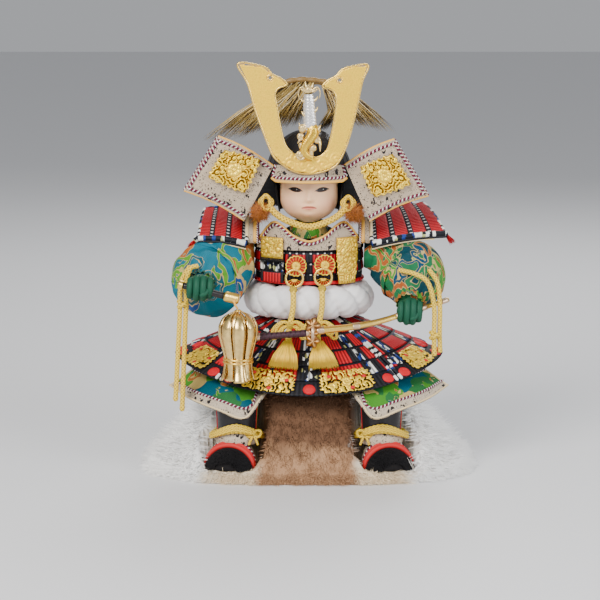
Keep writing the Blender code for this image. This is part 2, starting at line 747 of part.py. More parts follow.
# Baton and its bundle of strips
baton_path = [BATON_REAR.lerp(BATON_FRONT, t) for t in (0.0, 0.02, 0.08, 0.085, 0.76, 0.77, 0.98, 1.0)]
baton = loft("baton", sweep_rings([tuple(p) for p in baton_path],
                                  (3.2, 4.0, 4.0, 2.9, 2.9, 4.6, 4.6, 3.6), 12))
paint(baton, (0.1, 0.03, 0.03), 0.0, 0.4)
STRIP_X = -61.8
STRIP_Y = -92.0
STRIP_RINGS = ((155.5, 1.2), (150.5, 1.4), (149.5, 7.0), (145.0, 13.0), (138.0, 16.4),
               (130.0, 16.6), (118.0, 13.6), (109.5, 11.6), (103.0, 11.8), (97.0, 12.4),
               (90.0, 14.2))
strip_rings = []
for z, reach in STRIP_RINGS:
    ring = []
    for k in range(24):
        turn = 2 * math.pi * k / 24
        lobe = 1.0 + (0.05 if k % 3 else -0.07) * (reach > 5.0) * (z < 148.0)
        ring.append((STRIP_X + reach * lobe * math.cos(turn),
                     STRIP_Y + reach * lobe * math.sin(turn), z))
    strip_rings.append(ring)
strips = loft("baton_strips", strip_rings)
paint(strips, GOLD, 1.0, 0.25)

# Head, hair, helmet
def head_z(share):
    """Height at a share of the head, from its base to its top."""
    return HEAD_BASE + HEAD_HEIGHT * share


head_rings = []
for rise, share in ((0.0, 0.42), (0.0375, 0.68), (0.114, 0.88), (0.216, 0.98), (0.319, 1.0),
                    (0.489, 0.99), (0.659, 0.95), (0.83, 0.8), (0.949, 0.55), (1.0, 0.2)):
    ring = []
    for k in range(24):
        turn = 2 * math.pi * k / 24
        x = HEAD_RX * share * math.cos(turn)
        y = HEAD_CENTRE_Y + HEAD_RY * (0.12 + 0.88 * share) * math.sin(turn)
        if rise < 0.05:
            y *= 0.92
        ring.append((x, y, head_z(rise)))
    head_rings.append(ring)
head = loft("head", head_rings)
face_y = HEAD_CENTRE_Y - HEAD_RY
nose_path = [(0, face_y + 2.0, head_z(0.489)), (0, face_y + 0.4, head_z(0.387)),
             (0, face_y + 0.4, head_z(0.327))]
fuse(head, loft("nose", sweep_rings(nose_path, (1.0, 2.0, 2.6), 8), helper=True))
paint(head, SKIN, 0.0, 0.5)

HAIR_TURN = 106.0
hair_grid = []
for drop, reach in ((0.4, 1.19), (13.0, 1.03), (23.0, 1.02), (32.0, 0.96)):
    row = []
    for k in range(15):
        turn = math.radians(HAIR_TURN * (k / 7 - 1))
        row.append((HEAD_RX * reach * math.sin(turn),
                    HEAD_CENTRE_Y + HEAD_RY * reach * math.cos(turn), BOWL_BASE - drop))
    hair_grid.append(row)
hair = panel("hair", hair_grid, 1.8, offset=1.0)
paint(hair, BLACK, 0.0, 0.5)


def dome_ring(lat, wall, count):
    """Ring of the bowl at an angle above its rim, a wall's thickness inside it."""
    turn = math.radians(lat)
    return oval(0, BOWL_CENTRE_Y, BOWL_BASE + (BOWL_RISE - wall) * math.sin(turn),
                (BOWL_RX - wall) * math.cos(turn), (BOWL_RY - wall) * math.cos(turn), count)


bowl = loft("helmet_bowl", [dome_ring(lat, 0.0, 28) for lat in (0, 14, 28, 42, 56, 70, 82)])
inner_rings = [oval(0, BOWL_CENTRE_Y, BOWL_BASE - 2.0, BOWL_RX - BOWL_THICKNESS,
                    BOWL_RY - BOWL_THICKNESS, 20)]
inner_rings += [dome_ring(lat, BOWL_THICKNESS, 20) for lat in (10, 26, 44, 62, 78)]
cut(bowl, loft("bowl_room", inner_rings, helper=True))
paint(bowl, BLACK, 0.3, 0.3)


def brim_point(turn, up, out):
    """Point up from the rim and out from the bowl's side, the angle measured from the front."""
    return ((BOWL_RX + out) * math.sin(turn), BOWL_CENTRE_Y - (BOWL_RY + out) * math.cos(turn),
            BOWL_BASE + up)


VISOR_TURN = 52.0
visor_grid = []
for up, out in ((10.0, -0.5), (3.0, 2.6), (-3.5, 6.2)):
    visor_grid.append([brim_point(math.radians(VISOR_TURN * (k / 6 - 1)), up, out)
                       for k in range(13)])
visor = panel("visor", visor_grid, 1.8, offset=-1.0)
paint(visor, LEATHER, 0.0, 0.5)

NECK_START = 72.0
NECK_SWEEP = 216.0
NECK_ROWS = 4
neck_grid = []
for row in range(NECK_ROWS):
    for share, lift in ((row / NECK_ROWS, 0.0), ((row + 0.95) / NECK_ROWS, 1.8)):
        neck_grid.append([brim_point(math.radians(NECK_START + NECK_SWEEP * k / 16),
                                     5.0 - 40.0 * share, 22.8 * share + lift - 0.2)
                          for k in range(17)])
neck_guard = panel("neck_guard", neck_grid, 2.0, offset=-1.0)
paint(neck_guard, RED, 0.0, 0.6)

# Turned back wings and their ornaments, out from the bowl's side and up from its rim
WINGS = {
    "right": ((43.0, 35.0), (-5.6, 8.7), (20.0, -39.0), (73.0, -12.5)),
    "left": ((38.0, 32.5), (-5.6, 9.6), (16.0, -39.5), (68.0, -17.0)),
}
ORNAMENTS = {
    "right": ((37.3, 22.0), (5.5, 13.9), (19.4, -16.0), (52.0, -1.6)),
    "left": ((36.2, 18.7), (7.5, 7.3), (20.2, -19.5), (52.7, -8.0)),
}
WING_Y = BOWL_CENTRE_Y - 26.0
WING_BOW = 5.0


def beside(side, spots):
    """Points in X and Z from their distances out from the bowl and up from its rim."""
    return [(side * (BOWL_RX + out), BOWL_BASE + up) for out, up in spots]


def wing_surface(corners, u, v):
    """Point of a wing between its corners, bowed a little to the front."""
    (ax, az), (bx, bz), (cx, cz), (dx, dz) = corners
    x = (1 - v) * ((1 - u) * ax + u * bx) + v * ((1 - u) * dx + u * cx)
    z = (1 - v) * ((1 - u) * az + u * bz) + v * ((1 - u) * dz + u * cz)
    return (x, WING_Y - WING_BOW * math.sin(math.pi * u) * math.sin(math.pi * v), z)


for side, word in ((-1, "right"), (1, "left")):
    corners = beside(side, WINGS[word])
    grid = [[wing_surface(corners, u / 6, v / 6) for u in range(7)] for v in range(7)]
    wing = panel("wing_" + word, grid, 3.4, offset=float(side))
    paint(wing, LEATHER, 0.0, 0.6)
    quad = beside(side, ORNAMENTS[word])
    mid = [sum(p[i] for p in quad) / 4 for i in (0, 1)]
    loop = []
    for i in range(4):
        here = quad[i]
        ahead = quad[(i + 1) % 4]
        for share in (0.08, 0.3, 0.5, 0.7, 0.92):
            swell = 0.93 if share in (0.3, 0.7) else 1.0
            x = here[0] + (ahead[0] - here[0]) * share
            z = here[1] + (ahead[1] - here[1]) * share
            loop.append((mid[0] + (x - mid[0]) * swell, mid[1] + (z - mid[1]) * swell))
    ornament_y = WING_Y - WING_BOW - 6.6
    ornament = upright_slab("wing_ornament_" + word, loop, ornament_y, 2.6)
    fuse(ornament, ball("wing_stud_" + word, (mid[0], ornament_y - 0.8, mid[1]),
                        (7.0, 3.4, 7.0), 12, 6, helper=True))
    paint(ornament, GOLD, 1.0, 0.3)

# Horn crest with its two eye holes, up from the bowl's rim
HORN_OUTLINE = (
    (-61.9, 100.0), (-53.5, 82.7), (-47.0, 60.0), (-38.1, 35.5), (-31.6, 20.1), (-23.7, 12.3),
    (-12.4, 5.7), (1.6, 3.9), (17.4, 7.8), (25.2, 13.6), (32.2, 27.6), (37.4, 44.7), (42.6, 67.0),
    (46.3, 84.7), (51.1, 98.5), (36.4, 97.4), (28.5, 94.8), (23.1, 89.2), (15.2, 84.7),
    (11.4, 79.7), (17.3, 78.3), (22.0, 74.8), (23.6, 67.0), (21.5, 49.5), (18.2, 33.8),
    (15.3, 24.6), (8.6, 18.9), (0.3, 18.4), (-10.6, 20.1), (-15.9, 23.3), (-21.5, 31.1),
    (-25.9, 49.5), (-28.1, 63.5), (-29.8, 72.6), (-27.2, 78.3), (-19.3, 81.8), (-23.7, 86.4),
    (-32.4, 90.8), (-33.6, 92.5), (-40.2, 97.4),
)
HORN_EYES = ((-34.0, 87.8), (26.3, 85.7))
HORN_Y = BOWL_CENTRE_Y - BOWL_RY - 6.9
HORN_THICKNESS = 1.8
horn_loops = [[(x, BOWL_BASE + up) for x, up in HORN_OUTLINE]]
for x, up in HORN_EYES:
    turns = [2 * math.pi * k / 10 for k in range(10)]
    horn_loops.append([(x + 2.0 * math.cos(t), BOWL_BASE + up + 1.2 * math.sin(t)) for t in turns])
horns = upright_plate("horn_crest", horn_loops, HORN_Y, HORN_THICKNESS)
paint(horns, PALE_GOLD, 1.0, 0.3)

# Dragon in front of the crest, one coiled body, with its depth measured from the horns
DRAGON_KNOTS = (
    (-6.0, 3.1, 20.0), (-1.0, 3.9, 24.0), (3.5, 4.3, 31.0), (-1.0, 4.7, 39.0), (3.0, 4.7, 47.0),
    (-1.5, 4.7, 56.0), (2.0, 4.7, 65.0), (0.5, 5.0, 74.0), (-0.5, 4.9, 85.0),
)
dragon_path = smooth_path([(x, HORN_Y - fore, BOWL_BASE + up) for x, fore, up in DRAGON_KNOTS], 2)
dragon_radii = [2.0 + 2.0 * math.sin(math.pi * (0.1 + 0.8 * i / (len(dragon_path) - 1)))
                for i in range(len(dragon_path))]
dragon = loft("dragon_crest", sweep_rings(dragon_path, dragon_radii, 8, flat=0.8))
paint(dragon, GOLD, 1.0, 0.35)

# Plume: stiff strands in a fan over the bowl, up from its top
PLUME_OUTLINE = (
    (-24.0, 41.0), (-12.0, 44.5), (4.0, 44.5), (17.0, 42.0), (34.0, 36.0), (52.0, 24.0),
    (66.0, 10.0), (79.0, -4.0), (60.0, 0.0), (44.0, 4.0), (32.0, 0.0), (22.0, 1.5), (7.0, -0.9),
    (-7.0, -0.9), (-26.0, 1.0), (-44.0, -4.0), (-62.0, -10.0), (-80.0, -12.5), (-97.0, -11.5),
    (-86.0, 3.0), (-70.0, 17.0), (-48.0, 31.0),
)
PLUME_Y = BOWL_CENTRE_Y + 8.0
plume = upright_plate("plume", [[(x, BOWL_TOP + up) for x, up in PLUME_OUTLINE]], PLUME_Y, 2.4)
paint(plume, (0.55, 0.42, 0.22), 0.0, 0.7)

# Chin cord with side loops and tufts, in front of the jaw and up from the head's base
CHIN_KNOTS = ((-36.5, 4.0, 14.7), (-29.0, 2.0, 6.4), (-17.0, -1.0, -0.2), (0.0, -2.5, -4.4),
              (17.0, -1.0, 0.3), (28.0, 2.0, 6.9), (33.5, 4.0, 14.7))
chin_path = smooth_path([(x, face_y + back, HEAD_BASE + up) for x, back, up in CHIN_KNOTS], 2)
chin = loft("chin_cord", sweep_rings(chin_path, [CHIN_CORD_RADIUS] * len(chin_path), 8))
for side, word, x, up in ((-1, "right", -38.0, 16.7), (1, "left", 34.5, 15.7)):
    y = face_y + 3.5
    z = HEAD_BASE + up
    fuse(chin, torus("chin_loop_" + word, (x, y, z), 4.6, 1.5, "Y", around=14, helper=True))
    fuse(chin, ball("chin_tuft_" + word, (x + side * 7.0, y - 1.0, z - 11.0), (8.2, 3.0, 6.0),
                    10, 6, helper=True))
    link = [(x, y, z - 4.0), (x + side * 5.0, y - 1.0, z - 10.0)]
    fuse(chin, loft("chin_link_" + word, sweep_rings(link, (1.6, 1.6), 6), helper=True))
paint(chin, GOLD, 0.0, 0.5)

# Sleeve cords hanging free
SLEEVE_CORDS = {
    "sleeve_cord_right_a": ((-104.5, -64.5, 186.0), (-110.5, -68.0, 176.0), (-112.8, -72.0, 165.0),
                            (-113.0, -73.0, 150.0), (-115.0, -75.0, 112.0), (-117.5, -75.5, 67.6)),
    "sleeve_cord_right_b": ((-97.0, -70.0, 187.0), (-104.0, -71.5, 184.5), (-107.8, -71.5, 170.0),
                            (-107.8, -72.0, 155.0), (-109.6, -74.0, 110.0), (-111.8, -75.0, 58.6)),
    "sleeve_cord_left_a": ((79.5, -52.6, 180.8), (94.0, -64.5, 178.5), (104.5, -66.5, 171.0),
                           (109.8, -65.0, 150.0), (110.0, -65.0, 125.0), (110.5, -64.5, 106.0)),
    "sleeve_cord_left_b": ((105.8, -53.0, 181.2), (113.0, -60.0, 170.0), (115.0, -62.5, 150.0),
                           (115.0, -62.5, 125.0), (115.6, -62.0, 108.6)),
}
for name, knots in SLEEVE_CORDS.items():
    cord = tube(name, smooth_path(knots, 3), CORD_RADIUS)
    paint(cord, YELLOW, 0.0, 0.6)
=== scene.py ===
"""Looks of a seated warrior doll in laced armour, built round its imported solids.

Lengths in the code are millimetres until a surface becomes a mesh. Right and left are the doll's own.
"""

import json
import logging
import math
from dataclasses import dataclass
from enum import Enum
from typing import Any, Callable, Sequence

import bmesh
import bpy
import numpy as np
from numpy import (arange, array, asarray, broadcast_to, clip, cos, cross, exp, hypot, interp, linspace,
                   maximum, meshgrid, minimum, ones, radians, sin, sqrt, stack, where)
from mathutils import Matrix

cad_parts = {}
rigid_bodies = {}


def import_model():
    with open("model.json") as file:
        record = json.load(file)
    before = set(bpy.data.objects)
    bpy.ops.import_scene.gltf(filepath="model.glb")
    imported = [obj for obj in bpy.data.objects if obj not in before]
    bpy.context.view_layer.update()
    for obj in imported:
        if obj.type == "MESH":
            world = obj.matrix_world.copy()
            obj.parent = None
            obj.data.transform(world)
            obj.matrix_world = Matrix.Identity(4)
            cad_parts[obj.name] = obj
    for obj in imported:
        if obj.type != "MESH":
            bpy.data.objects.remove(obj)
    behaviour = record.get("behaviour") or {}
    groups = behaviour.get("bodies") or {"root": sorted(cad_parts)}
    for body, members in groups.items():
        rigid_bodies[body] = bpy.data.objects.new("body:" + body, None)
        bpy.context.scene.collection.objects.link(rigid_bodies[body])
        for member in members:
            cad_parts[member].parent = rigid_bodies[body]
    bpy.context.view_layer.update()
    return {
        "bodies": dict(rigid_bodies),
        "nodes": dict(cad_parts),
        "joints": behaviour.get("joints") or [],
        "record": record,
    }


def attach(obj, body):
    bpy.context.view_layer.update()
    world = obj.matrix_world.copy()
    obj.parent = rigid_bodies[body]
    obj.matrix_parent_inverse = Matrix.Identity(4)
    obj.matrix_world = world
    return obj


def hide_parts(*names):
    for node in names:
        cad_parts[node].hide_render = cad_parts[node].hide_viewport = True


MM = 0.001
TAU = 2 * math.pi
BODY = "root"
ACROSS, BACK, UP = (1, 0, 0), (0, 1, 0), (0, 0, 1)
TILTED = (0, 1, 0.1)
PLY = 3.8
LOG = logging.getLogger("doll")
Array = np.ndarray
Place = Callable[[Array, Array, Array], Array]


# Shader sums and nodes

def sum_of(kind: str, swap: bool = False) -> Callable[..., "Val"]:
    """A method that adds one Math node.

    Args:
        kind: the node's operation.
        swap: puts the other number first.

    Returns:
        The method, which takes the other number and gives the value that comes out.
    """
    def method(self: "Val", other: Any = 0.0) -> "Val":
        """This and the other number through the node."""
        pair = (other, self) if swap else (self, other)
        made = self.graph.node("ShaderNodeMath", {"operation": kind}, {0: pair[0], 1: pair[1]})
        return Val(self.graph, made.outputs[0])
    return method


class Val:
    """A number that runs through the nodes and takes part in plain sums."""

    def __init__(self, graph: "Graph", socket: bpy.types.NodeSocket) -> None:
        """Keeps the graph and the socket."""
        self.graph = graph
        self.socket = socket

    __add__ = sum_of("ADD")
    __radd__ = sum_of("ADD", True)
    __sub__ = sum_of("SUBTRACT")
    __rsub__ = sum_of("SUBTRACT", True)
    __mul__ = sum_of("MULTIPLY")
    __rmul__ = sum_of("MULTIPLY", True)
    __truediv__ = sum_of("DIVIDE")
    __lt__ = sum_of("LESS_THAN")
    __gt__ = sum_of("GREATER_THAN")
    sine = sum_of("SINE")
    size = sum_of("ABSOLUTE")
    most = sum_of("MAXIMUM")
    least = sum_of("MINIMUM")
    part = sum_of("FRACT")


class Graph:
    """The nodes of one material."""

    def __init__(self, name: str) -> None:
        """Starts a material with its main shader."""
        self.material = bpy.data.materials.new(name)
        self.material.use_nodes = True
        self.tree = self.material.node_tree
        self.shader = self.tree.nodes["Principled BSDF"]

    def put(self, made: bpy.types.Node, key: Any, value: Any) -> None:
        """Sets or links one socket of a node."""
        source = value.socket if isinstance(value, Val) else value
        if isinstance(source, bpy.types.NodeSocket):
            self.tree.links.new(source, made.inputs[key])
        else:
            made.inputs[key].default_value = source

    def node(self, kind: str, settings: dict | None = None, sockets: dict | None = None) -> bpy.types.Node:
        """Adds any node.

        Args:
            kind: the node's type.
            settings: its own settings, and the stops of a ramp.
            sockets: values or links by socket name or number.

        Returns:
            The new node.
        """
        made = self.tree.nodes.new(kind)
        for key, value in (settings or {}).items():
            if key == "stops":
                ramp = made.color_ramp
                while len(ramp.elements) < len(value):
                    ramp.elements.new(1.0)
                for element, (spot, colour) in zip(ramp.elements, value):
                    element.position = spot
                    element.color = (*colour[:3], 1.0)
            else:
                setattr(made, key, value)
        for key, value in (sockets or {}).items():
            self.put(made, key, value)
        return made

    def solid(self) -> bpy.types.NodeSocket:
        """Object coordinates in millimetres."""
        source = self.node("ShaderNodeTexCoord")
        return self.node("ShaderNodeVectorMath", {"operation": "SCALE"},
                         {0: source.outputs["Object"], "Scale": 1000.0}).outputs[0]

    def cloth(self) -> bpy.types.NodeSocket:
        """The piece's own pattern coordinates in millimetres."""
        return self.node("ShaderNodeUVMap", {"uv_map": "UVMap"}).outputs[0]

    def split(self, vector: bpy.types.NodeSocket) -> tuple[Val, Val, Val]:
        """The three numbers of a vector."""
        made = self.node("ShaderNodeSeparateXYZ", None, {0: vector})
        return Val(self, made.outputs[0]), Val(self, made.outputs[1]), Val(self, made.outputs[2])

    def join(self, x: Any, y: Any, z: Any = 0.0) -> bpy.types.NodeSocket:
        """A vector from three numbers."""
        return self.node("ShaderNodeCombineXYZ", None, {0: x, 1: y, 2: z}).outputs[0]

    def stretch(self, vector: bpy.types.NodeSocket, scale: Sequence[float],
                turn: float = 0.0) -> bpy.types.NodeSocket:
        """The vector scaled on each axis and turned about Z."""
        return self.node("ShaderNodeMapping", None,
                         {"Vector": vector, "Scale": scale, "Rotation": (0, 0, turn)}).outputs[0]

    def dye(self) -> tuple[bpy.types.NodeSocket, Val]:
        """The colour and the alpha painted on the piece."""
        made = self.node("ShaderNodeAttribute", {"attribute_name": "dye"})
        return made.outputs["Color"], Val(self, made.outputs["Alpha"])

    def noise(self, vector: bpy.types.NodeSocket, scale: float, detail: float = 2.0,
              rough: float = 0.5) -> Val:
        """Smooth noise from 0 to 1."""
        made = self.node("ShaderNodeTexNoise", None,
                         {"Vector": vector, "Scale": scale, "Detail": detail, "Roughness": rough})
        return Val(self, made.outputs[0])

    def cells(self, vector: bpy.types.NodeSocket, scale: float, feature: str = "F1") -> bpy.types.Node:
        """Cells round scattered points."""
        return self.node("ShaderNodeTexVoronoi", {"feature": feature}, {"Vector": vector, "Scale": scale})

    def warp(self, vector: bpy.types.NodeSocket, scale: float, reach: float) -> bpy.types.NodeSocket:
        """The vector pushed about by noise.

        Args:
            vector: what is pushed.
            scale: how fine the noise is.
            reach: how far it pushes.

        Returns:
            The pushed vector.
        """
        drift = self.node("ShaderNodeTexNoise", None, {"Vector": vector, "Scale": scale, "Detail": 2.0})
        push = self.node("ShaderNodeVectorMath", {"operation": "SCALE"},
                         {0: drift.outputs["Color"], "Scale": reach})
        return self.node("ShaderNodeVectorMath", {"operation": "ADD"},
                         {0: vector, 1: push.outputs[0]}).outputs[0]

    def ramp(self, value: Any, stops: Sequence, sharp: bool = False) -> bpy.types.NodeSocket:
        """A colour from a number.

        Args:
            value: the number.
            stops: pairs of place and colour.
            sharp: steps with no blend between them.

        Returns:
            The colour.
        """
        made = self.node("ShaderNodeValToRGB", {"stops": stops}, {0: value})
        if sharp:
            made.color_ramp.interpolation = "CONSTANT"
        return made.outputs[0]

    def mix(self, share: Any, first: Any, second: Any, blend: str = "MIX") -> bpy.types.NodeSocket:
        """One colour blended into another.

        Args:
            share: how much of the second.
            first: colour or link.
            second: colour or link.
            blend: how they blend.

        Returns:
            The colour.
        """
        pair = [(*c[:3], 1.0) if isinstance(c, tuple) else c for c in (first, second)]
        made = self.node("ShaderNodeMix", {"data_type": "RGBA", "blend_type": blend},
                         {0: share, 6: pair[0], 7: pair[1]})
        return made.outputs[2]

    def shade(self, colour: Any, value: Any, low: float, high: float) -> bpy.types.NodeSocket:
        """The colour made from low to high times as bright as value goes from 0 to 1."""
        grey = self.ramp(value, ((0.0, (low,) * 3), (1.0, (high,) * 3)))
        return self.mix(1.0, colour, grey, "MULTIPLY")

    def bump(self, height: Any, reach: float, strength: float = 1.0,
             under: Any = None) -> bpy.types.NodeSocket:
        """A normal from a height.

        Args:
            height: from 0 to 1.
            reach: what 1 stands for, in millimetres.
            strength: how strong it is.
            under: a normal beneath this one.

        Returns:
            The normal.
        """
        sockets = {"Height": height, "Distance": reach * MM, "Strength": strength}
        if under is not None:
            sockets["Normal"] = under
        return self.node("ShaderNodeBump", None, sockets).outputs[0]

    def finish(self, **sockets: Any) -> None:
        """Sets the main shader's sockets, whose names have _ for a space."""
        for key, value in sockets.items():
            name = {"Specular": "Specular IOR Level"}.get(key, key.replace("_", " "))
            if isinstance(value, tuple) and len(value) == 3 and name.endswith("Color"):
                value = (*value, 1.0)
            self.put(self.shader, name, value)


# Finishes

@dataclass(frozen=True)
class Finish:
    """A finish, made once and shared by the pieces that wear it."""

    name: str

    def lay(self, g: Graph) -> None:
        """Lays the nodes of the finish."""
        raise NotImplementedError

    def material(self) -> bpy.types.Material:
        """The finish as a material."""
        found = bpy.data.materials.get(self.name)
        if found is None:
            g = Graph(self.name)
            self.lay(g)
            found = g.material
        return found


class Dye(Enum):
    """Colours of silk. No alpha stands for mottled cord."""

    RED = (0.6, 0.008, 0.016, 1.0)
    BLACK = (0.013, 0.013, 0.018, 1.0)
    WHITE = (0.78, 0.76, 0.72, 1.0)
    MOTTLED = (1.0, 1.0, 1.0, 0.0)


@dataclass(frozen=True)
class Silk(Finish):
    """Silk cord in the painted colour, with fine threads, and mottled where the paint has no alpha."""

    def lay(self, g: Graph) -> None:
        """Lays mottling, thread lines and a soft shine."""
        dye, plain = g.dye()
        cloth = g.cloth()
        spots = g.split(g.cells(g.warp(g.stretch(cloth, (0.4, 0.28, 1.0), 0.5), 0.9, 0.5),
                                1.0).outputs["Color"])[0]
        mottle = g.ramp(spots, ((0.0, (0.006, 0.007, 0.012)), (0.3, (0.8, 0.81, 0.78)),
                                (0.55, (0.012, 0.04, 0.22)), (0.68, (0.006, 0.008, 0.016)),
                                (0.82, (0.85, 0.85, 0.8)), (0.94, (0.5, 0.5, 0.18))), True)
        colour = g.mix(plain, g.mix(1.0, mottle, dye, "MULTIPLY"), dye)
        threads = g.noise(g.stretch(cloth, (5.0, 0.5, 1.0)), 1.0, 2.0)
        twill = (g.split(g.stretch(cloth, (9.0, 9.0, 1.0), 0.6))[0]).sine() * 0.5 + 0.5
        colour = g.shade(colour, threads * 0.7 + twill * 0.3, 0.6, 1.25)
        g.finish(Base_Color=colour, Roughness=0.66 - threads * 0.2, Specular=0.22,
                 Normal=g.bump(threads * 0.6 + twill * 0.4, 0.18, 0.7))


@dataclass(frozen=True)
class Braid(Finish):
    """Braided cord: two sets of ridges wind against each other round it, with painted shade in the gaps
    between them.
    """

    light: tuple = (0.92, 0.64, 0.055)
    # dark: painted shade in the gaps between the ridges
    dark: tuple = (0.34, 0.18, 0.015)
    around: float = 4.0
    pitch: float = 3.4

    def lay(self, g: Graph) -> None:
        """Lays crossing ridges: sine of the turn plus and minus the length; the gaps between ridges take the
        dark colour as painted shade.
        """
        x, y, _ = g.split(g.cloth())
        turn = x * (TAU * self.around)
        run = y * (TAU / self.pitch)
        ridge = (turn + run).sine().most((turn - run).sine()) * 0.5 + 0.5
        fibre = g.noise(g.stretch(g.cloth(), (30.0, 1.5, 1.0)), 1.0, 2.0)
        # painted shade: the dark colour in the gaps, the light one on the ridges
        colour = g.mix(ridge, self.dark, self.light)
        colour = g.shade(colour, fibre, 0.75, 1.2)
        g.finish(Base_Color=colour, Roughness=0.58 - fibre * 0.15, Specular=0.3,
                 Normal=g.bump(ridge * 0.7 + fibre * 0.3, 0.5, 0.9))


@dataclass(frozen=True)
class Edging(Finish):
    """Two-ply edging: dark red and white plies with a dark line between them."""

    pitch: float = PLY

    def lay(self, g: Graph) -> None:
        """Lays slanting plies: what is left of turn plus length past whole numbers picks the colour."""
        x, y, _ = g.split(g.cloth())
        ply = (x + y * (1.0 / self.pitch)).part()
        colour = g.ramp(ply, ((0.0, (0.15, 0.008, 0.035)), (0.46, (0.012, 0.006, 0.01)),
                              (0.56, (0.82, 0.76, 0.74)), (0.88, (0.012, 0.006, 0.01))), True)
        g.finish(Base_Color=g.shade(colour, g.noise(g.cloth(), 3.0), 0.75, 1.2), Roughness=0.6,
                 Specular=0.25, Normal=g.bump((ply * TAU * 2.0).sine() * 0.5 + 0.5, 0.4, 0.8))


@dataclass(frozen=True)
class Leather(Finish):
    """Printed deerskin: pale ground, black flecks and curls, fine grain."""

    ground: tuple = (0.47, 0.35, 0.22)
    size: float = 0.3

    def lay(self, g: Graph) -> None:
        """Lays blotches, flecks round scattered points, curls as parts of rings round them, and grain."""
        solid = g.solid()
        colour = g.mix(g.noise(solid, 0.09, 3.0), self.ground, (0.43, 0.34, 0.26))
        colour = g.mix(g.noise(solid, 0.7, 4.0) * 0.3, colour, (0.66, 0.58, 0.46))
        print_ = g.cells(g.warp(g.stretch(solid, (1.0, 0.3, 1.0)), 0.5, 1.6), self.size)
        far = Val(g, print_.outputs["Distance"])
        luck = g.split(print_.outputs["Color"])[0]
        fleck = (far < 0.2) * (luck > 0.4)
        large = g.cells(g.warp(g.stretch(solid, (1.0, 0.3, 0.6), 0.7), 0.3, 2.0), self.size * 0.6)
        round_ = Val(g, large.outputs["Distance"])
        picked = g.split(large.outputs["Color"])[1] < 0.75
        curl = ((round_ - 0.24).size() < 0.13) * picked * (g.noise(solid, 0.3, 1.0) > 0.49)
        small = Val(g, g.cells(solid, self.size * 2.4).outputs["Distance"])
        grit = (small < 0.3) * (g.noise(solid, 0.2, 1.0) > 0.42)
        colour = g.mix(fleck.most(curl).most(grit * 0.8), colour, (0.012, 0.01, 0.012))
        grain = g.noise(solid, 3.2, 4.0)
        g.finish(Base_Color=g.shade(colour, grain, 0.8, 1.12), Roughness=0.55 + grain * 0.25, Specular=0.25,
                 Normal=g.bump(grain, 0.22, 0.6))


@dataclass(frozen=True)
class Metal(Finish):
    """Gilt metal, hammered or stamped, darker in its hollows with painted shade."""

    tone: tuple = (1.0, 0.72, 0.22)
    deep: tuple = (0.5, 0.27, 0.05)
    rough: float = 0.3
    grain: float = 1.2
    depth: float = 0.12
    painted: bool = False
    purity: float = 1.0

    def lay(self, g: Graph) -> None:
        """Lays fine hammering, cloudy wear and painted shade in the hollows."""
        solid = g.solid()
        cloud = g.noise(solid, 0.16, 3.0)
        pit = Val(g, g.cells(g.warp(solid, 0.9, 0.8), self.grain, "SMOOTH_F1").outputs["Distance"])
        colour = g.mix((cloud - 0.4) * 0.8, self.tone, self.deep)
        if self.painted:
            dye = g.dye()[0]
            # painted shade: the dye's red, the relief's height, turns the hollows to the deep tone
            colour = g.mix(g.split(dye)[0], self.deep, colour)
            colour = g.mix(g.split(dye)[2], (0.88, 0.86, 0.84), colour)
        colour = g.shade(colour, pit, 1.1, 0.75)
        g.finish(Base_Color=colour, Metallic=self.purity, Roughness=cloud * 0.22 + (self.rough - 0.08),
                 Normal=g.bump(pit, self.depth, 0.7))


@dataclass(frozen=True)
class Brocade(Finish):
    """Brocade: long leaves and patches outlined with gold thread over a ground of the first colour."""

    stops: tuple = ()
    size: float = 0.05
    ground: float = 0.42
    stretch: tuple = (1.0, 1.0, 0.7)

    def lay(self, g: Graph) -> None:
        """Lays warped cells, a colour for each, double outlines on the leaves, veins and a twill weave."""
        solid = g.solid()
        drift = g.warp(g.stretch(solid, self.stretch, 0.7), 0.045, 34.0)
        patch = g.cells(drift, self.size)
        edge = Val(g, g.cells(drift, self.size, "DISTANCE_TO_EDGE").outputs["Distance"])
        pick = g.split(patch.outputs["Color"])[0]
        leaf = pick > self.ground
        colour = g.ramp(pick, self.stops, True)
        second = g.ramp((pick + 0.31).part(), self.stops, True)
        colour = g.mix(leaf * (edge > 0.16), colour, second)
        inner = g.cells(g.warp(g.stretch(solid, (1.0, 1.0, 0.6), -0.6), 0.09, 14.0), self.size * 2.4)
        sprig = (Val(g, inner.outputs["Distance"]) < 0.34) * (g.noise(solid, 0.05, 1.0) > 0.58)
        colour = g.mix(sprig, colour, g.ramp(g.split(inner.outputs["Color"])[1], self.stops, True))
        rim = leaf * ((edge < 0.022).most((edge - 0.16).size() < 0.012))
        halo = sprig * (Val(g, inner.outputs["Distance"]) > 0.29)
        rim = rim.most(halo)
        colour = g.mix(rim * 0.9, colour, (0.6, 0.44, 0.17))
        twill = Val(g, g.node("ShaderNodeTexWave", {"bands_direction": "DIAGONAL"},
                              {"Vector": solid, "Scale": 1.1, "Distortion": 0.6}).outputs["Fac"])
        thread = g.noise(g.stretch(solid, (1.0, 1.0, 5.0)), 1.4, 3.0)
        g.finish(Base_Color=g.shade(colour, twill * 0.5 + thread * 0.5, 0.62, 1.2),
                 Roughness=0.62 - rim * 0.2, Specular=0.22,
                 Normal=g.bump(twill * 0.6 + thread * 0.4 + rim * 0.5, 0.16, 0.7))


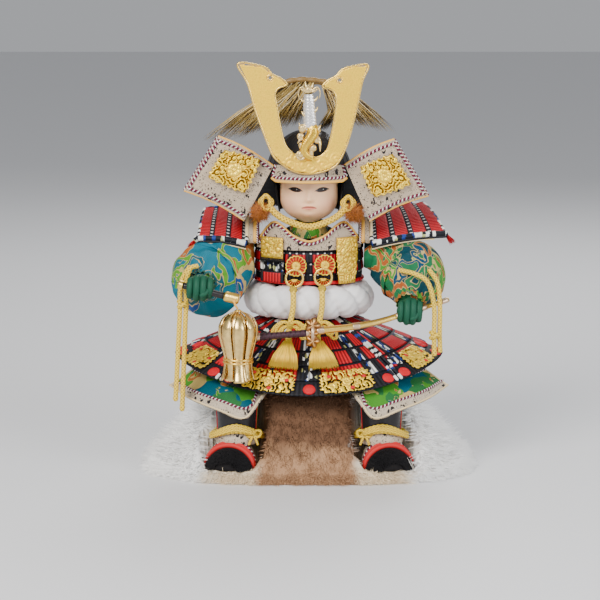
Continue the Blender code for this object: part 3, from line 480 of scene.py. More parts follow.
@dataclass(frozen=True)
class Satin(Finish):
    """Stuffed satin or plain cloth with soft creases, darker along them with painted shade."""

    tone: tuple = (0.9, 0.88, 0.88)
    rough: float = 0.42
    crease: float = 0.35

    def lay(self, g: Graph) -> None:
        """Lays long soft creases with painted shade along them, and a fine weave."""
        cloth = g.cloth()
        fold = g.noise(g.stretch(cloth, (0.22, 0.05, 1.0), 0.5), 1.0, 3.0)
        weave = g.noise(g.stretch(cloth, (6.0, 1.5, 1.0)), 1.0, 2.0)
        # painted shade: the crease noise also darkens the colour
        colour = g.shade(self.tone, fold * 0.6 + weave * 0.4, 0.8, 1.08)
        g.finish(Base_Color=colour, Roughness=self.rough + weave * 0.2, Specular=0.3,
                 Normal=g.bump(weave, 0.05, 0.5, g.bump(fold, self.crease * 3.0, 0.5)))


@dataclass(frozen=True)
class Fibre(Finish):
    """Hair, fur or bristle in the painted colour, paler to its tip, some of it emitting painted light."""

    rough: float = 0.55
    shine: float = 0.3
    # painted light: how strongly the hair emits its own colour
    painted_glow: float = 0.0

    def lay(self, g: Graph) -> None:
        """Lays a change from root to tip and between hairs; the emission is painted light standing in for
        light passed from hair to hair.
        """
        dye, _ = g.dye()
        x, y, _ = g.split(g.cloth())
        tone = g.noise(g.join(x * 7.0, 0.0), 1.0, 1.0)
        colour = g.shade(dye, y * 0.55 + tone * 0.45, 0.62, 1.18)
        # painted light: the hair emits its colour, though it is no lamp
        g.finish(Base_Color=colour, Roughness=self.rough - tone * 0.12, Specular=self.shine,
                 Emission_Color=colour, Emission_Strength=self.painted_glow)


@dataclass(frozen=True)
class Lacquer(Finish):
    """Black lacquer with faint ripples and rubbed places."""

    tone: tuple = (0.012, 0.012, 0.014)
    rough: float = 0.16

    def lay(self, g: Graph) -> None:
        """Lays faint ripples, dust and a clear coat."""
        solid = g.solid()
        ripple = g.noise(solid, 0.12, 2.0)
        dust = g.noise(solid, 1.6, 5.0)
        colour = g.mix(dust * 0.12, self.tone, (0.09, 0.07, 0.06))
        g.finish(Base_Color=colour, Roughness=self.rough + dust * 0.14, Specular=0.22, Coat_Weight=0.12,
                 Coat_Roughness=0.06, Normal=g.bump(ripple, 0.25, 0.3))


@dataclass(frozen=True)
class Pelt(Finish):
    """The skin under the hair and other soft ground, in the painted colour."""

    def lay(self, g: Graph) -> None:
        """Lays clumped, mottled underfur."""
        dye, _ = g.dye()
        clump = g.noise(g.stretch(g.solid(), (1.0, 1.0, 0.45)), 0.9, 5.0, 0.7)
        g.finish(Base_Color=g.shade(dye, clump, 0.6, 1.15), Roughness=0.9, Specular=0.2,
                 Normal=g.bump(clump, 0.9, 0.8))


@dataclass(frozen=True)
class Face(Finish):
    """Painted, faintly glossy face with narrow dark eyes and small pink lips."""

    tone: tuple = (0.92, 0.55, 0.31)

    def eye(self, g: Graph, x: Val, z: Val, middle: float, high: float, outward: float) -> tuple:
        """The masks of one eye: its opening, its iris and its upper line.

        Args:
            g: the graph.
            x: across, in millimetres.
            z: up, in millimetres.
            middle: the eye's middle across.
            high: the eye's middle up.
            outward: 1 or -1, the side where its corner rises.

        Returns:
            The three masks.
        """
        dx = (x - middle) * (1.0 / 6.3)
        arch = 1.0 - dx * dx
        rise = (z - high) - dx * (0.55 * outward)
        opening = (rise < arch * 1.9) * (rise > arch * -1.6) * (dx.size() < 1.0)
        iris = (dx.size() < 0.66) * opening
        line = ((rise - arch * 1.9).size() < arch * 0.55 + 0.15) * (dx.size() < 1.08)
        return opening, iris, line

    def lay(self, g: Graph) -> None:
        """Lays skin tone, warm cheeks, lips, and eyes with a painted highlight in each."""
        solid = g.solid()
        x, y, z = g.split(solid)
        front = y < -30.0
        mottling = g.noise(solid, 0.12, 3.0)
        colour = g.mix(mottling * 0.3, self.tone, (0.92, 0.6, 0.38))
        for middle in (-16.0, 16.0):
            dx = (x - middle) * 0.11
            dz = (z - 238.0) * 0.12
            blush = (1.0 - (dx * dx + dz * dz)).most(0.0) * 0.3
            colour = g.mix(blush, colour, (0.86, 0.42, 0.33))
        lip = x * (1.0 / 7.6)
        bow = 1.0 - lip * lip
        seam = (z - 235.6) + (x * 0.5).sine().size() * -0.25 + lip * lip * 1.1
        upper = (seam > 0.0) * (seam < bow * 1.3 - 0.1) * (lip.size() < 1.0)
        lower = (seam < 0.0) * (seam > bow * -2.3) * (lip.size() < 0.86)
        colour = g.mix(upper * front * 0.85, colour, (0.46, 0.07, 0.05))
        colour = g.mix(lower * front * 0.8, colour, (0.6, 0.13, 0.09))
        colour = g.mix((seam.size() < bow * 0.28) * (lip.size() < 1.02) * front * 0.95, colour,
                       (0.16, 0.02, 0.02))
        for middle, outward in ((-12.0, -1.0), (11.4, 1.0)):
            opening, iris, line = self.eye(g, x, z, middle, 250.6, outward)
            colour = g.mix(opening * front, colour, (0.2, 0.15, 0.14))
            colour = g.mix(iris * front, colour, (0.016, 0.007, 0.005))
            colour = g.mix(line * front, colour, (0.008, 0.005, 0.005))
            # painted highlight: a small pale spot in each eye
            painted_glint = ((x - (middle + 1.1)).size() < 0.34) * ((z - 251.3).size() < 0.3)
            colour = g.mix(painted_glint * front * 0.8, colour, (0.8, 0.8, 0.8))
        g.finish(Base_Color=colour, Roughness=0.44, Specular=0.3, Subsurface_Weight=0.12,
                 Subsurface_Radius=(1.0, 0.35, 0.2), Subsurface_Scale=0.002,
                 Normal=g.bump(g.noise(solid, 1.2, 3.0), 0.05, 0.3))


@dataclass(frozen=True)
class Timber(Finish):
    """Plain pale timber with growth lines."""

    def lay(self, g: Graph) -> None:
        """Lays stretched rings."""
        solid = g.solid()
        rings = g.node("ShaderNodeTexWave", {"wave_type": "RINGS"},
                       {"Vector": g.stretch(solid, (0.02, 0.4, 0.4)), "Scale": 0.3, "Distortion": 6.0,
                        "Detail": 3.0})
        colour = g.mix(rings.outputs["Fac"], (0.5, 0.34, 0.2), (0.36, 0.22, 0.12))
        g.finish(Base_Color=colour, Roughness=0.62, Normal=g.bump(rings.outputs["Fac"], 0.1, 0.4))


BLUE_STOPS = ((0.0, (0.0, 0.15, 0.22)), (0.45, (0.45, 0.12, 0.02)), (0.58, (0.0, 0.06, 0.26)),
              (0.7, (0.10, 0.32, 0.02)), (0.82, (0.0, 0.09, 0.13)), (0.92, (0.6, 0.44, 0.14)))
GREEN_STOPS = ((0.0, (0.0, 0.05, 0.07)), (0.32, (0.05, 0.3, 0.03)), (0.52, (0.0, 0.06, 0.13)),
               (0.64, (0.4, 0.1, 0.02)), (0.78, (0.6, 0.45, 0.16)), (0.9, (0.01, 0.16, 0.06)))
BAND_STOPS = ((0.0, (0.06, 0.28, 0.02)), (0.26, (0.6, 0.44, 0.14)), (0.46, (0.0, 0.1, 0.15)),
              (0.66, (0.02, 0.16, 0.04)), (0.85, (0.4, 0.12, 0.02)))

SILK = Silk("silk_lacing")
CORD = Braid("yellow_braided_cord")
CHIN = Braid("gold_braided_cord", (0.92, 0.6, 0.05), (0.22, 0.11, 0.01), 4.0, 3.2)
EDGING = Edging("edging")
PIPING = Satin("gold_piping", (0.85, 0.45, 0.08), 0.34, 0.2)
PALE_PIPING = Satin("pale_piping", (0.8, 0.62, 0.34), 0.34, 0.2)
LEATHER = Leather("printed_leather")
BORDER = Leather("border_leather", (0.62, 0.52, 0.37), 0.36)
GOLD = Metal("bright_gold", (1.0, 0.68, 0.16))
HORN = Metal("horn_gold", (1.0, 0.64, 0.035), (0.8, 0.4, 0.015), 0.44, 0.9, 0.08, True, 0.55)
RELIEF = Metal("relief_gold", (1.0, 0.7, 0.06), (0.6, 0.3, 0.015), 0.34, 1.6, 0.1, True, 0.6)
CARVED = Metal("cast_gold", (1.0, 0.68, 0.06), (0.5, 0.22, 0.01), 0.26, 1.4, 0.14, True, 0.75)
COPPER = Metal("copper_gold", (0.8, 0.48, 0.2), (0.26, 0.1, 0.03), 0.34, 1.5, 0.14, True)
FOIL = Metal("gold_foil", (0.95, 0.68, 0.26), (0.55, 0.33, 0.1), 0.24, 0.35, 0.05)
BLUE = Brocade("blue_brocade", BLUE_STOPS)
GREEN = Brocade("green_brocade", GREEN_STOPS, 0.065, 0.3)
BAND = Brocade("band_brocade", BAND_STOPS, 0.06, 0.9, (0.9, 0.9, 0.5))
COLLAR = Brocade("collar_brocade", BAND_STOPS, 0.12, 0.4)
WHITE = Satin("white_satin")
GLOVE = Satin("green_glove", (0.004, 0.075, 0.038), 0.5, 0.5)
LINING = Satin("red_lining", (0.6, 0.02, 0.02), 0.5, 0.2)
DARK = Satin("dark_cloth", (0.02, 0.03, 0.035), 0.7, 0.3)
HAIR = Fibre("black_hair", 0.4, 0.5)
FUR = Fibre("long_fur", 0.6, 0.2, 0.2)
TASSEL = Fibre("tassel_thread", 0.5, 0.4, 0.1)
BRISTLE = Fibre("bristle", 0.5, 0.4)
PELT = Pelt("underfur")
LACQUER = Lacquer("black_lacquer")
PLATE = Lacquer("dull_lacquer", (0.014, 0.013, 0.016), 0.3)
WRAP = Braid("hilt_wrapping", (0.05, 0.016, 0.028), (0.006, 0.003, 0.004), 1.0, 4.2)
SKIN = Face("painted_face")
TIMBER = Timber("seat_timber")


# Curves and surfaces

def shares(count: int) -> Array:
    """Even steps from 0 to 1."""
    return linspace(0, 1, count)


def turns(count: int) -> Array:
    """Even steps once round."""
    return linspace(0, TAU, count)


def even(curve: Array, count: int) -> Array:
    """Points at even steps along a line: the line's length is shared out equally.

    Args:
        curve: points of the line.
        count: how many to give back.

    Returns:
        The new points.
    """
    steps = np.r_[0.0, np.cumsum(np.linalg.norm(np.diff(curve, axis=0), axis=1))]
    spots = linspace(0.0, steps[-1], count)
    return stack([interp(spots, steps, curve[:, k]) for k in range(curve.shape[1])], axis=1)


def smooth(knots: Sequence, count: int, closed: bool = False) -> Array:
    """Smooth curve through knots: each stretch is the cubic whose slope at a knot joins its neighbours.

    Args:
        knots: points to pass through.
        count: how many points to give back.
        closed: joins the last knot to the first.

    Returns:
        Evenly spaced points.
    """
    p = asarray(knots, float)
    p = np.vstack([p[-1], p, p[0], p[1]]) if closed else np.vstack([2 * p[0] - p[1], p, 2 * p[-1] - p[-2]])
    last = len(p) - 3
    t = linspace(0.0, last, count * 6)
    i = minimum(t.astype(int), last - 1)
    f = (t - i)[:, None]
    a, b, c, d = p[i], p[i + 1], p[i + 2], p[i + 3]
    curve = 0.5 * (2 * b + (c - a) * f + (2 * a - 5 * b + 4 * c - d) * f ** 2
                   + (3 * b - a - 3 * c + d) * f ** 3)
    return even(curve, count)


def unit(vectors: Array) -> Array:
    """Vectors brought to length 1."""
    return vectors / maximum(np.linalg.norm(vectors, axis=-1, keepdims=True), 1e-9)


def sweep(path: Array, radius: Any, around: int = 12, guide: Sequence = (0, 0, 1), flat: float = 1.0,
          shape: Any = 1.0, closed: bool = False) -> Array:
    """A circle carried along a path: the point plus side times cosine plus rise times sine of the turn.

    Args:
        path: points of the path.
        radius: one number, or one for each point.
        around: steps round the circle.
        guide: a direction that the path never takes.
        flat: height of the circle over its width.
        shape: further factor on the radius, as a grid.
        closed: the path ends where it starts.

    Returns:
        Grid of points, path by turn.
    """
    slope = np.gradient(path, axis=0)
    if closed:
        slope[0] = slope[-1] = path[1] - path[-2]
    side = unit(cross(slope, asarray(guide, float)))
    rise = unit(cross(side, slope))
    turn = -turns(around + 1)
    reach = (ones(len(path)) * radius)[:, None] * ones(around + 1) * shape
    return (path[:, None] + side[:, None] * (reach * cos(turn))[..., None]
            + rise[:, None] * (reach * flat * sin(turn))[..., None])


def length_of(path: Array) -> float:
    """Length of a line of points."""
    return float(np.linalg.norm(np.diff(path, axis=0), axis=1).sum())


def bump_noise(a: Array, b: Array, seed: float) -> Array:
    """Soft waves between -1 and 1: the mean of four sines of slanting sums of a and b."""
    return (sin(a * 1.3 + b * 0.7 + seed) + sin(a * -0.8 + b * 1.6 + seed * 2.1)
            + sin(a * 2.3 - b * 1.1 + seed * 3.7) + sin(a * 0.5 + b * 2.7 + seed * 0.6)) / 4


def inside(x: Array, z: Array, outline: Sequence) -> Array:
    """Which points lie inside an outline: an odd number of its edges pass on their right.

    Args:
        x: across.
        z: up.
        outline: corner points.

    Returns:
        True where inside.
    """
    found = np.zeros(np.shape(x), bool)
    ends = asarray(outline, float)
    for (ax, az), (bx, bz) in zip(ends, np.roll(ends, -1, axis=0)):
        spans = (az > z) != (bz > z)
        found ^= spans & (x < (bx - ax) * (z - az) / ((bz - az) or 1e-9) + ax)
    return found


def raised(surface: Callable[[Array, Array], Array], toward: Sequence) -> Place:
    """A surface with a lift: the point plus its normal, the cross product of its two slopes, times the lift.

    Args:
        surface: takes shares across and down.
        toward: a direction on the side that a lift goes to.

    Returns:
        Function of the two shares and the lift.
    """
    def place(u: Array, v: Array, lift: Array) -> Array:
        """The surface point moved along its normal."""
        step = 1e-4
        across = surface(u + step, v) - surface(u - step, v)
        down = surface(u, v + step) - surface(u, v - step)
        rise = unit(cross(across, down))
        rise = rise * np.sign((rise @ asarray(toward, float)).sum())
        return surface(u, v) + rise * (asarray(lift, float) * ones(np.shape(u)))[..., None]
    return place


def mesh_of(u_steps: int, v_steps: int) -> tuple[Array, Array]:
    """Shares across and down on an even grid, down by rows."""
    return meshgrid(shares(u_steps + 1), shares(v_steps + 1))


def at(*parts: Any) -> Array:
    """Points from their coordinates, or pattern places from two numbers."""
    return stack(np.broadcast_arrays(*[asarray(p, float) for p in parts]), axis=-1)


def between(corners: Sequence, u: Array, v: Array) -> Array:
    """Points between four corners: the sum of each corner times its shares across and down.

    Args:
        corners: top left, top right, bottom right and bottom left.
        u: shares across.
        v: shares down.

    Returns:
        The points.
    """
    a, b, c, d = corners
    u, v = u[..., None], v[..., None]
    return a * (1 - u) * (1 - v) + b * u * (1 - v) + c * u * v + d * (1 - u) * v


def chest_y(x: Array, off: float) -> Array:
    """The chest's front: the cuirass oval, off millimetres bigger."""
    return -3 - (40 + off) * sqrt(maximum(0.05, 1 - (x / (49 + off)) ** 2))


def varied(luck: Array, colour: Sequence) -> Array:
    """A colour made brighter or darker by each number, with a full alpha."""
    return luck.reshape(-1, 1) * [*colour, 0] + [0, 0, 0, 1]


def paint(*colours: Sequence) -> Array:
    """Colours with a full alpha."""
    return array([(*c[:3], 1.0) for c in colours])


class Skin:
    """Gathers grids of points, and makes one piece of them."""

    def __init__(self) -> None:
        """Starts with nothing."""
        self.points: list[Array] = []
        self.faces: list[Array] = []
        self.cloth: list[Array] = []
        self.dyes: list[Array] = []
        self.kinds: list[Array] = []
        self.count = 0

    def add(self, points: Array, faces: Array, cloth: Array, dye: Array, kind: int) -> None:
        """Adds loose faces.

        Args:
            points: their corners.
            faces: four numbers of points each, the last two alike in a triangle.
            cloth: a pattern place for each point.
            dye: a colour for each corner of a face.
            kind: which finish they take.
        """
        self.points.append(points)
        self.faces.append(faces + self.count)
        self.cloth.append(cloth[faces].reshape(-1, 2))
        self.dyes.append(dye)
        self.kinds.append(np.full(len(faces), kind))
        self.count += len(points)

    def grid(self, points: Array, cloth: Array | None = None, dye: Any = Dye.WHITE, kind: int = 0,
             away: Sequence | None = None, keep: Array | None = None, ends: bool = False) -> None:
        """Adds a grid of points as four-sided faces.

        Args:
            points: rows by columns by three.
            cloth: pattern places, or none for share round and length.
            dye: a colour, or one for each point or face.
            kind: which of the piece's finishes it takes.
            away: a point that the faces look away from.
            keep: which faces are kept.
            ends: closes the first and last rows, as of a tube.
        """
        rows, cols = points.shape[:2]
        if cloth is None:
            run = np.r_[0.0, np.cumsum(np.linalg.norm(np.diff(points.mean(axis=1), axis=0), axis=1))]
            cloth = at(shares(cols), run[:, None])
        index = arange(rows * cols).reshape(rows, cols)
        quads = stack([index[:-1, :-1], index[:-1, 1:], index[1:, 1:], index[1:, :-1]], axis=-1)
        colour = asarray(dye.value if isinstance(dye, Dye) else dye, float)
        if colour.ndim == 1:
            colour = broadcast_to(colour, (rows - 1, cols - 1, 4))
        if colour.shape[:2] == (rows, cols):
            corner = colour.reshape(-1, 4)[quads]
        else:
            corner = broadcast_to(colour[:, :, None], (rows - 1, cols - 1, 4, 4))
        if keep is not None:
            quads, corner = quads[keep], corner[keep]
        quads, corner = quads.reshape(-1, 4), corner.reshape(-1, 4, 4)
        flat = points.reshape(-1, 3)
        if away is not None:
            a, b, c = (flat[quads[:, k]] for k in (0, 1, 3))
            look = (cross(b - a, c - a) * (a - asarray(away, float))).sum(axis=1)
            if look.sum() < 0:
                quads, corner = quads[:, ::-1], corner[:, ::-1]
        self.add(flat, quads, cloth.reshape(-1, 2), corner.reshape(-1, 4), kind)
        if ends:
            for row, order in ((0, -1), (rows - 1, 1)):
                ring = points[row]
                disc = stack([ring, broadcast_to(ring[:-1].mean(axis=0), ring.shape)])[::order]
                face = broadcast_to(colour[min(row, len(colour) - 1)][:cols - 1], (1, cols - 1, 4))
                self.grid(disc, stack([cloth[row]] * 2)[::order], face, kind)

    def tube(self, path: Array, radius: Any, dye: Any = Dye.WHITE, kind: int = 0, plies: float = 0.0,
             **kw: Any) -> None:
        """Adds a closed tube along a path; plies wind round it as a cosine of the turn plus the length.

        Args:
            path: its points.
            radius: one, or one for each point.
            dye: its colour.
            kind: which finish it takes.
            plies: length of one turn of its two plies, or none.
            kw: as for a sweep.
        """
        if plies:
            path = even(path, int(length_of(path) / 0.8) + 2)
            kw["around"] = 10
            turn = turns(11)
            along = linspace(0, length_of(path), len(path))[:, None]
            kw["shape"] = 0.86 + 0.2 * abs(cos(turn + along * math.pi / plies))
        self.grid(sweep(path, radius, **kw), dye=dye, kind=kind, ends=not kw.get("closed", False))

    def ball(self, centre: Sequence, radii: Sequence, dye: Any = Dye.WHITE, kind: int = 0, around: int = 14,
             tall: int = 9, bend: Callable | None = None) -> None:
        """Adds a rounded lump.

        Args:
            centre: its middle.
            radii: half its size on each axis.
            dye: its colour.
            kind: which finish it takes.
            around: steps round it.
            tall: steps from pole to pole.
            bend: changes the factor on the radius from the two angles.
        """
        down, turn = meshgrid(linspace(0.0, math.pi, tall), turns(around + 1), indexing="ij")
        reach = np.ones_like(down) if bend is None else bend(down, turn)
        spot = at(sin(down) * cos(turn), sin(down) * sin(turn), cos(down))
        points = asarray(centre, float) + spot * asarray(radii, float) * reach[..., None]
        size = float(max(radii))
        self.grid(points, at(turn * size, down * size), dye, kind, away=centre)

    def hairs(self, roots: Array, tips: Array, bends: Array | None, width: Any, dye: Array) -> None:
        """Adds thin three-sided hairs: a root ring, a bent middle ring if any, and the tip.

        Args:
            roots: where they grow.
            tips: where they end.
            bends: how far the middle is moved, or none for straight hairs.
            width: their half width at the root.
            dye: a colour for each.
        """
        count = len(roots)
        run = unit(tips - roots)
        side = unit(cross(run, where(abs(run[:, 2:]) > 0.9, [[1.0, 0, 0]], [[0, 0, 1.0]])))
        rise = cross(run, side)
        wide = (ones(count) * width)[:, None]
        around = [(side * math.cos(turn) + rise * math.sin(turn)) * wide
                  for turn in (0.0, TAU / 3, 2 * TAU / 3)]
        rings, shape = [roots + spoke for spoke in around], [[0, 2, 1, 1]]
        if bends is not None:
            rings += [roots + (tips - roots) * 0.55 + bends + spoke * 0.75 for spoke in around]
            shape += [[0, 1, 4, 3], [1, 2, 5, 4], [2, 0, 3, 5]]
        top = len(rings)
        shape += [[top - 3 + k, top - 3 + (k + 1) % 3, top, top] for k in range(3)]
        points = stack(rings + [tips], axis=1).reshape(-1, 3)
        faces = ((arange(count) * (top + 1))[:, None, None] + array(shape)).reshape(-1, 4)
        cloth = np.zeros((count, top + 1, 2))
        cloth[..., 0] = (arange(count) * 0.37 % 50)[:, None]
        cloth[:, 3:top, 1] = 0.55
        cloth[:, top, 1] = 1.0
        self.add(points, faces, cloth.reshape(-1, 2), np.repeat(dye, 4 * len(shape), axis=0), 0)

    def make(self, name: str, finishes: Sequence[Finish], slot: str | None = None,
             replaces: Sequence[str] = (), wall: float = 0.0, weld: bool = True) -> bpy.types.Object:
        """Makes the piece.

        Args:
            name: its name.
            finishes: its finishes in order.
            slot: the record's slot for the piece; not used.
            replaces: the solids that it stands for.
            wall: thickness given to it inwards.
            weld: merges points that meet.

        Returns:
            The object.
        """
        points = np.concatenate(self.points) * MM
        faces = np.concatenate(self.faces)
        three = faces[:, 2] == faces[:, 3]
        used = ones(faces.shape, bool)
        used[three, 3] = False
        loops = faces[used]
        sizes = where(three, 3, 4)
        mesh = bpy.data.meshes.new(name)
        mesh.vertices.add(len(points))
        mesh.vertices.foreach_set("co", points.astype(np.float32).ravel())
        mesh.loops.add(len(loops))
        mesh.loops.foreach_set("vertex_index", loops.astype(np.int32))
        mesh.polygons.add(len(faces))
        mesh.polygons.foreach_set("loop_start", (np.cumsum(sizes) - sizes).astype(np.int32))
        mesh.polygons.foreach_set("material_index", np.concatenate(self.kinds).astype(np.int32))
        mesh.polygons.foreach_set("use_smooth", ones(len(faces), bool))
        mesh.update(calc_edges=True)
        layer = mesh.uv_layers.new(name="UVMap")
        layer.data.foreach_set("uv", np.concatenate(self.cloth)[used.ravel()].astype(np.float32).ravel())
        paint = mesh.color_attributes.new("dye", "FLOAT_COLOR", "CORNER")
        paint.data.foreach_set("color", np.concatenate(self.dyes)[used.ravel()].astype(np.float32).ravel())
        if weld:
            work = bmesh.new()
            work.from_mesh(mesh)
            bmesh.ops.remove_doubles(work, verts=work.verts, dist=0.002 * MM)
            bmesh.ops.dissolve_degenerate(work, edges=work.edges, dist=0.001 * MM)
            work.to_mesh(mesh)
            work.free()
        mesh.validate()
        obj = bpy.data.objects.new(name, mesh)
        bpy.context.scene.collection.objects.link(obj)
        for finish in finishes:
            mesh.materials.append(finish.material())
        if wall:
            thick = obj.modifiers.new("wall", "SOLIDIFY")
            thick.thickness = wall * MM
            thick.offset = -1.0
        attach(obj, BODY)
        if replaces:
            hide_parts(*replaces)
        LOG.info("%s: %d points", name, len(mesh.vertices))
        return obj


def dress(frame: dict, finish: Finish, *nodes: str) -> None:
    """Gives solids that stay on show a finish."""
    for node in nodes:
        mesh = frame["nodes"][node].data
        mesh.materials.clear()
        mesh.materials.append(finish.material())


def swirls(x: Array, z: Array, centres: Array, pitch: float) -> tuple[Array, Array]:
    """Curling relief: round the nearest centre, cosine of distance over pitch less the angle.

    Args:
        x: across.
        z: up.
        centres: middles of the curls.
        pitch: width of one curl.

    Returns:
        Height from 0 to 1, and the distance to the nearest centre.
    """
    dx = x[..., None] - centres[:, 0]
    dz = z[..., None] - centres[:, 1]
    far = hypot(dx, dz)
    near = far.argmin(axis=-1)[..., None]
    reach = np.take_along_axis(far, near, -1)[..., 0]
    angle = np.arctan2(np.take_along_axis(dz, near, -1)[..., 0], np.take_along_axis(dx, near, -1)[..., 0])
    spin = where(near[..., 0] % 2 == 0, 1.0, -1.0)
    return 0.5 + 0.5 * cos(TAU * reach / pitch - angle * spin), reach


def rosette_height(x: Array, z: Array, radius: float, petals: int) -> Array:
    """Flower relief: a boss and a ring of petals by cosine of the angle.

    Args:
        x: across.
        z: up.
        radius: of the flower.
        petals: how many.

    Returns:
        Height from 0 to 1.
    """
    reach = hypot(x, z) / radius
    angle = np.arctan2(z, x)
    boss = clip(1 - (reach / 0.28) ** 2, 0, 1)
    petal = clip(1 - ((reach - 0.6) / 0.34) ** 2, 0, 1) * (0.55 + 0.45 * abs(cos(angle * petals / 2)))
    return clip(maximum(boss, petal), 0, 1) * (reach < 1.0)


def painted_relief_shade(height: Array) -> Array:
    """Paint for a relief: its height as red, so that painted shade darkens its hollows."""
    value = clip(height * 1.3, 0.0, 1.0)
    return stack([value, value, np.ones_like(value), np.ones_like(value)], axis=-1)


def ornament(skin: Skin, place: Place, wide: float, tall: float, cell: float, lift: float, depth: float,
             seed: int, flower: float, open_below: float, away: Sequence, pitch: float = 3.2) -> None:
    """A scalloped openwork plate of curls round a flower.

    Args:
        skin: what gathers it.
        place: surface that takes shares across and down and a lift.
        wide: its width.
        tall: its height.
        cell: size of one face.
        lift: height of its ground.
        depth: height of its relief.
        seed: picks the curls.
        flower: radius of the flower.
        open_below: relief lower than this is left open.
        away: point that the faces look away from.
        pitch: width of one curl.
    """
    u, v = meshgrid(shares(int(wide / cell) + 1), shares(int(tall / cell) + 1))
    x, z = (u - 0.5) * wide, (0.5 - v) * tall
    rng = np.random.default_rng(seed)
    count = int(wide * tall / 30) + 4
    centres = at(rng.uniform(-0.46, 0.46, count) * wide, rng.uniform(-0.46, 0.46, count) * tall)
    height, reach = swirls(x, z, centres, pitch)
    height = where(reach < 1.3, 1.0, height)
    if flower:
        inner = rosette_height(x, z, flower, 8)
        height = where(hypot(x, z) < flower, 0.35 + 0.65 * inner, height)
    angle = np.arctan2(z / tall, x / wide)
    edge = (abs(x / wide * 2) ** 5 + abs(z / tall * 2) ** 5) ** 0.2
    bound = 0.95 + 0.045 * cos(angle * 22)
    height = where(edge > bound - 0.09, maximum(height, 0.75), height)
    solid = (edge < bound) & ((height > open_below) | (hypot(x, z) < flower))
    keep = solid[:-1, :-1] & solid[1:, 1:] & solid[:-1, 1:] & solid[1:, :-1]
    fall = clip((bound - edge) / 0.06, 0, 1) ** 0.5
    points = place(u, v, lift + depth * height * fall)
    # the dye paints shade into the relief's hollows
    skin.grid(points, at(x, z), painted_relief_shade(height), away=away, keep=keep)


@dataclass(frozen=True)
class Span:
    """A run of laces of one dye in some of the rows, as shares of the width."""

    rows: tuple
    start: float
    end: float
    dye: Dye


def laced_rows(skin: Skin, place: Place, rows: int, laces: int, spans: Sequence[Span], wide: float,
               tall: float, away: Sequence, lift: float = 3.1, flare: float = 1.6, cord: float = 0.9,
               heads: float = 0.14, dots: bool = False, fine: int = 4, fall: int = 7) -> None:
    """Rows of silk lacing: each lace is half a sine wave proud of the plates, with painted shade along its
    edges, and each row flares downward.

    Args:
        skin: what gathers them.
        place: surface that takes shares across and down and a lift.
        rows: how many rows.
        laces: laces in a row.
        spans: dyes, later ones over earlier ones, black where none.
        wide: width in millimetres.
        tall: height in millimetres.
        away: point that the faces look away from.
        lift: height of the plates.
        flare: how much further the foot of a row stands out.
        cord: how far a lace stands out.
        heads: share of each row, at its top, where its black plates show.
        dots: white stitches on the plates.
        fine: steps over one lace.
        fall: steps down a row.
    """
    u = shares(laces * fine + 1)
    t = np.r_[0.0, heads * 0.3, heads * 0.8, linspace(heads, 1, fall), 1.0, 0.985]
    drop = np.r_[np.zeros(fall + 3), 0.45, 1.0]
    across, down = meshgrid(u, t)
    rib = abs(sin(math.pi * laces * across)) ** 0.65
    swell = sin(math.pi * clip(down * 0.9 + 0.05, 0, 1)) ** 0.4 * (down >= heads)
    stitch = dots * (down > 0) * (down < heads) * rib
    out = flare * down + cord * rib * swell + 0.7 * stitch
    out = out * (1 - drop[:, None]) - 1.4 * drop[:, None]
    middle = (arange(laces) + 0.5) / laces
    # painted shade: each lace is darker along both its edges, where it meets the next
    edge = np.tile(np.r_[0.34, ones(fine - 2), 0.34], laces)[None, :, None] * [1, 1, 1, 0] + [0, 0, 0, 1]
    for row in range(rows):
        colour = broadcast_to(array(Dye.BLACK.value), (laces, 4)).copy()
        for span in spans:
            if row in span.rows:
                colour[(middle >= span.start) & (middle <= span.end)] = span.dye.value
        dye = broadcast_to(np.repeat(colour, fine, axis=0), (len(t) - 1, laces * fine, 4)) * edge
        mixed = np.repeat(colour[:, 3], fine) == 0
        dye[:, mixed, 3] = 0
        dye[:3] = Dye.BLACK.value
        if dots:
            dye[1:2, arange(laces * fine) % (2 * fine) == 1] = Dye.WHITE.value
            dye[1:2, arange(laces * fine) % (2 * fine) == 2] = Dye.WHITE.value
        share = (row + 0.01 + 0.99 * down) / rows
        cloth = at(across * wide, share * tall + row * 11.7)
        skin.grid(place(across, share, lift + out), cloth, dye, away=away)


def button(skin: Skin, place: Place, u: float, v: float, half: Sequence, lift: float, height: float,
           away: Sequence, dye: Dye = Dye.RED) -> None:
    """A plump cross stitch: half an egg on the surface with a groove over its middle.

    Args:
        skin: what gathers it.
        place: surface that takes shares across and down and a lift.
        u: middle across.
        v: middle down.
        half: half its size in the two shares.
        lift: height of the surface.
        height: how far it stands out.
        away: point that the faces look away from.
        dye: its colour.
    """
    reach, turn = meshgrid(shares(6), turns(17), indexing="ij")
    dome = sqrt(clip(1 - reach ** 2, 0, 1)) * (1 - 0.18 * exp(-(reach * sin(turn) * 4) ** 2))
    points = place(u + half[0] * reach * cos(turn), v + half[1] * reach * sin(turn), lift + height * dome)
    cloth = at(reach * cos(turn) * 5, reach * sin(turn) * 5 + u * 50)
    skin.grid(points, cloth, dye, away=away)


# Viewpoint, light and floor

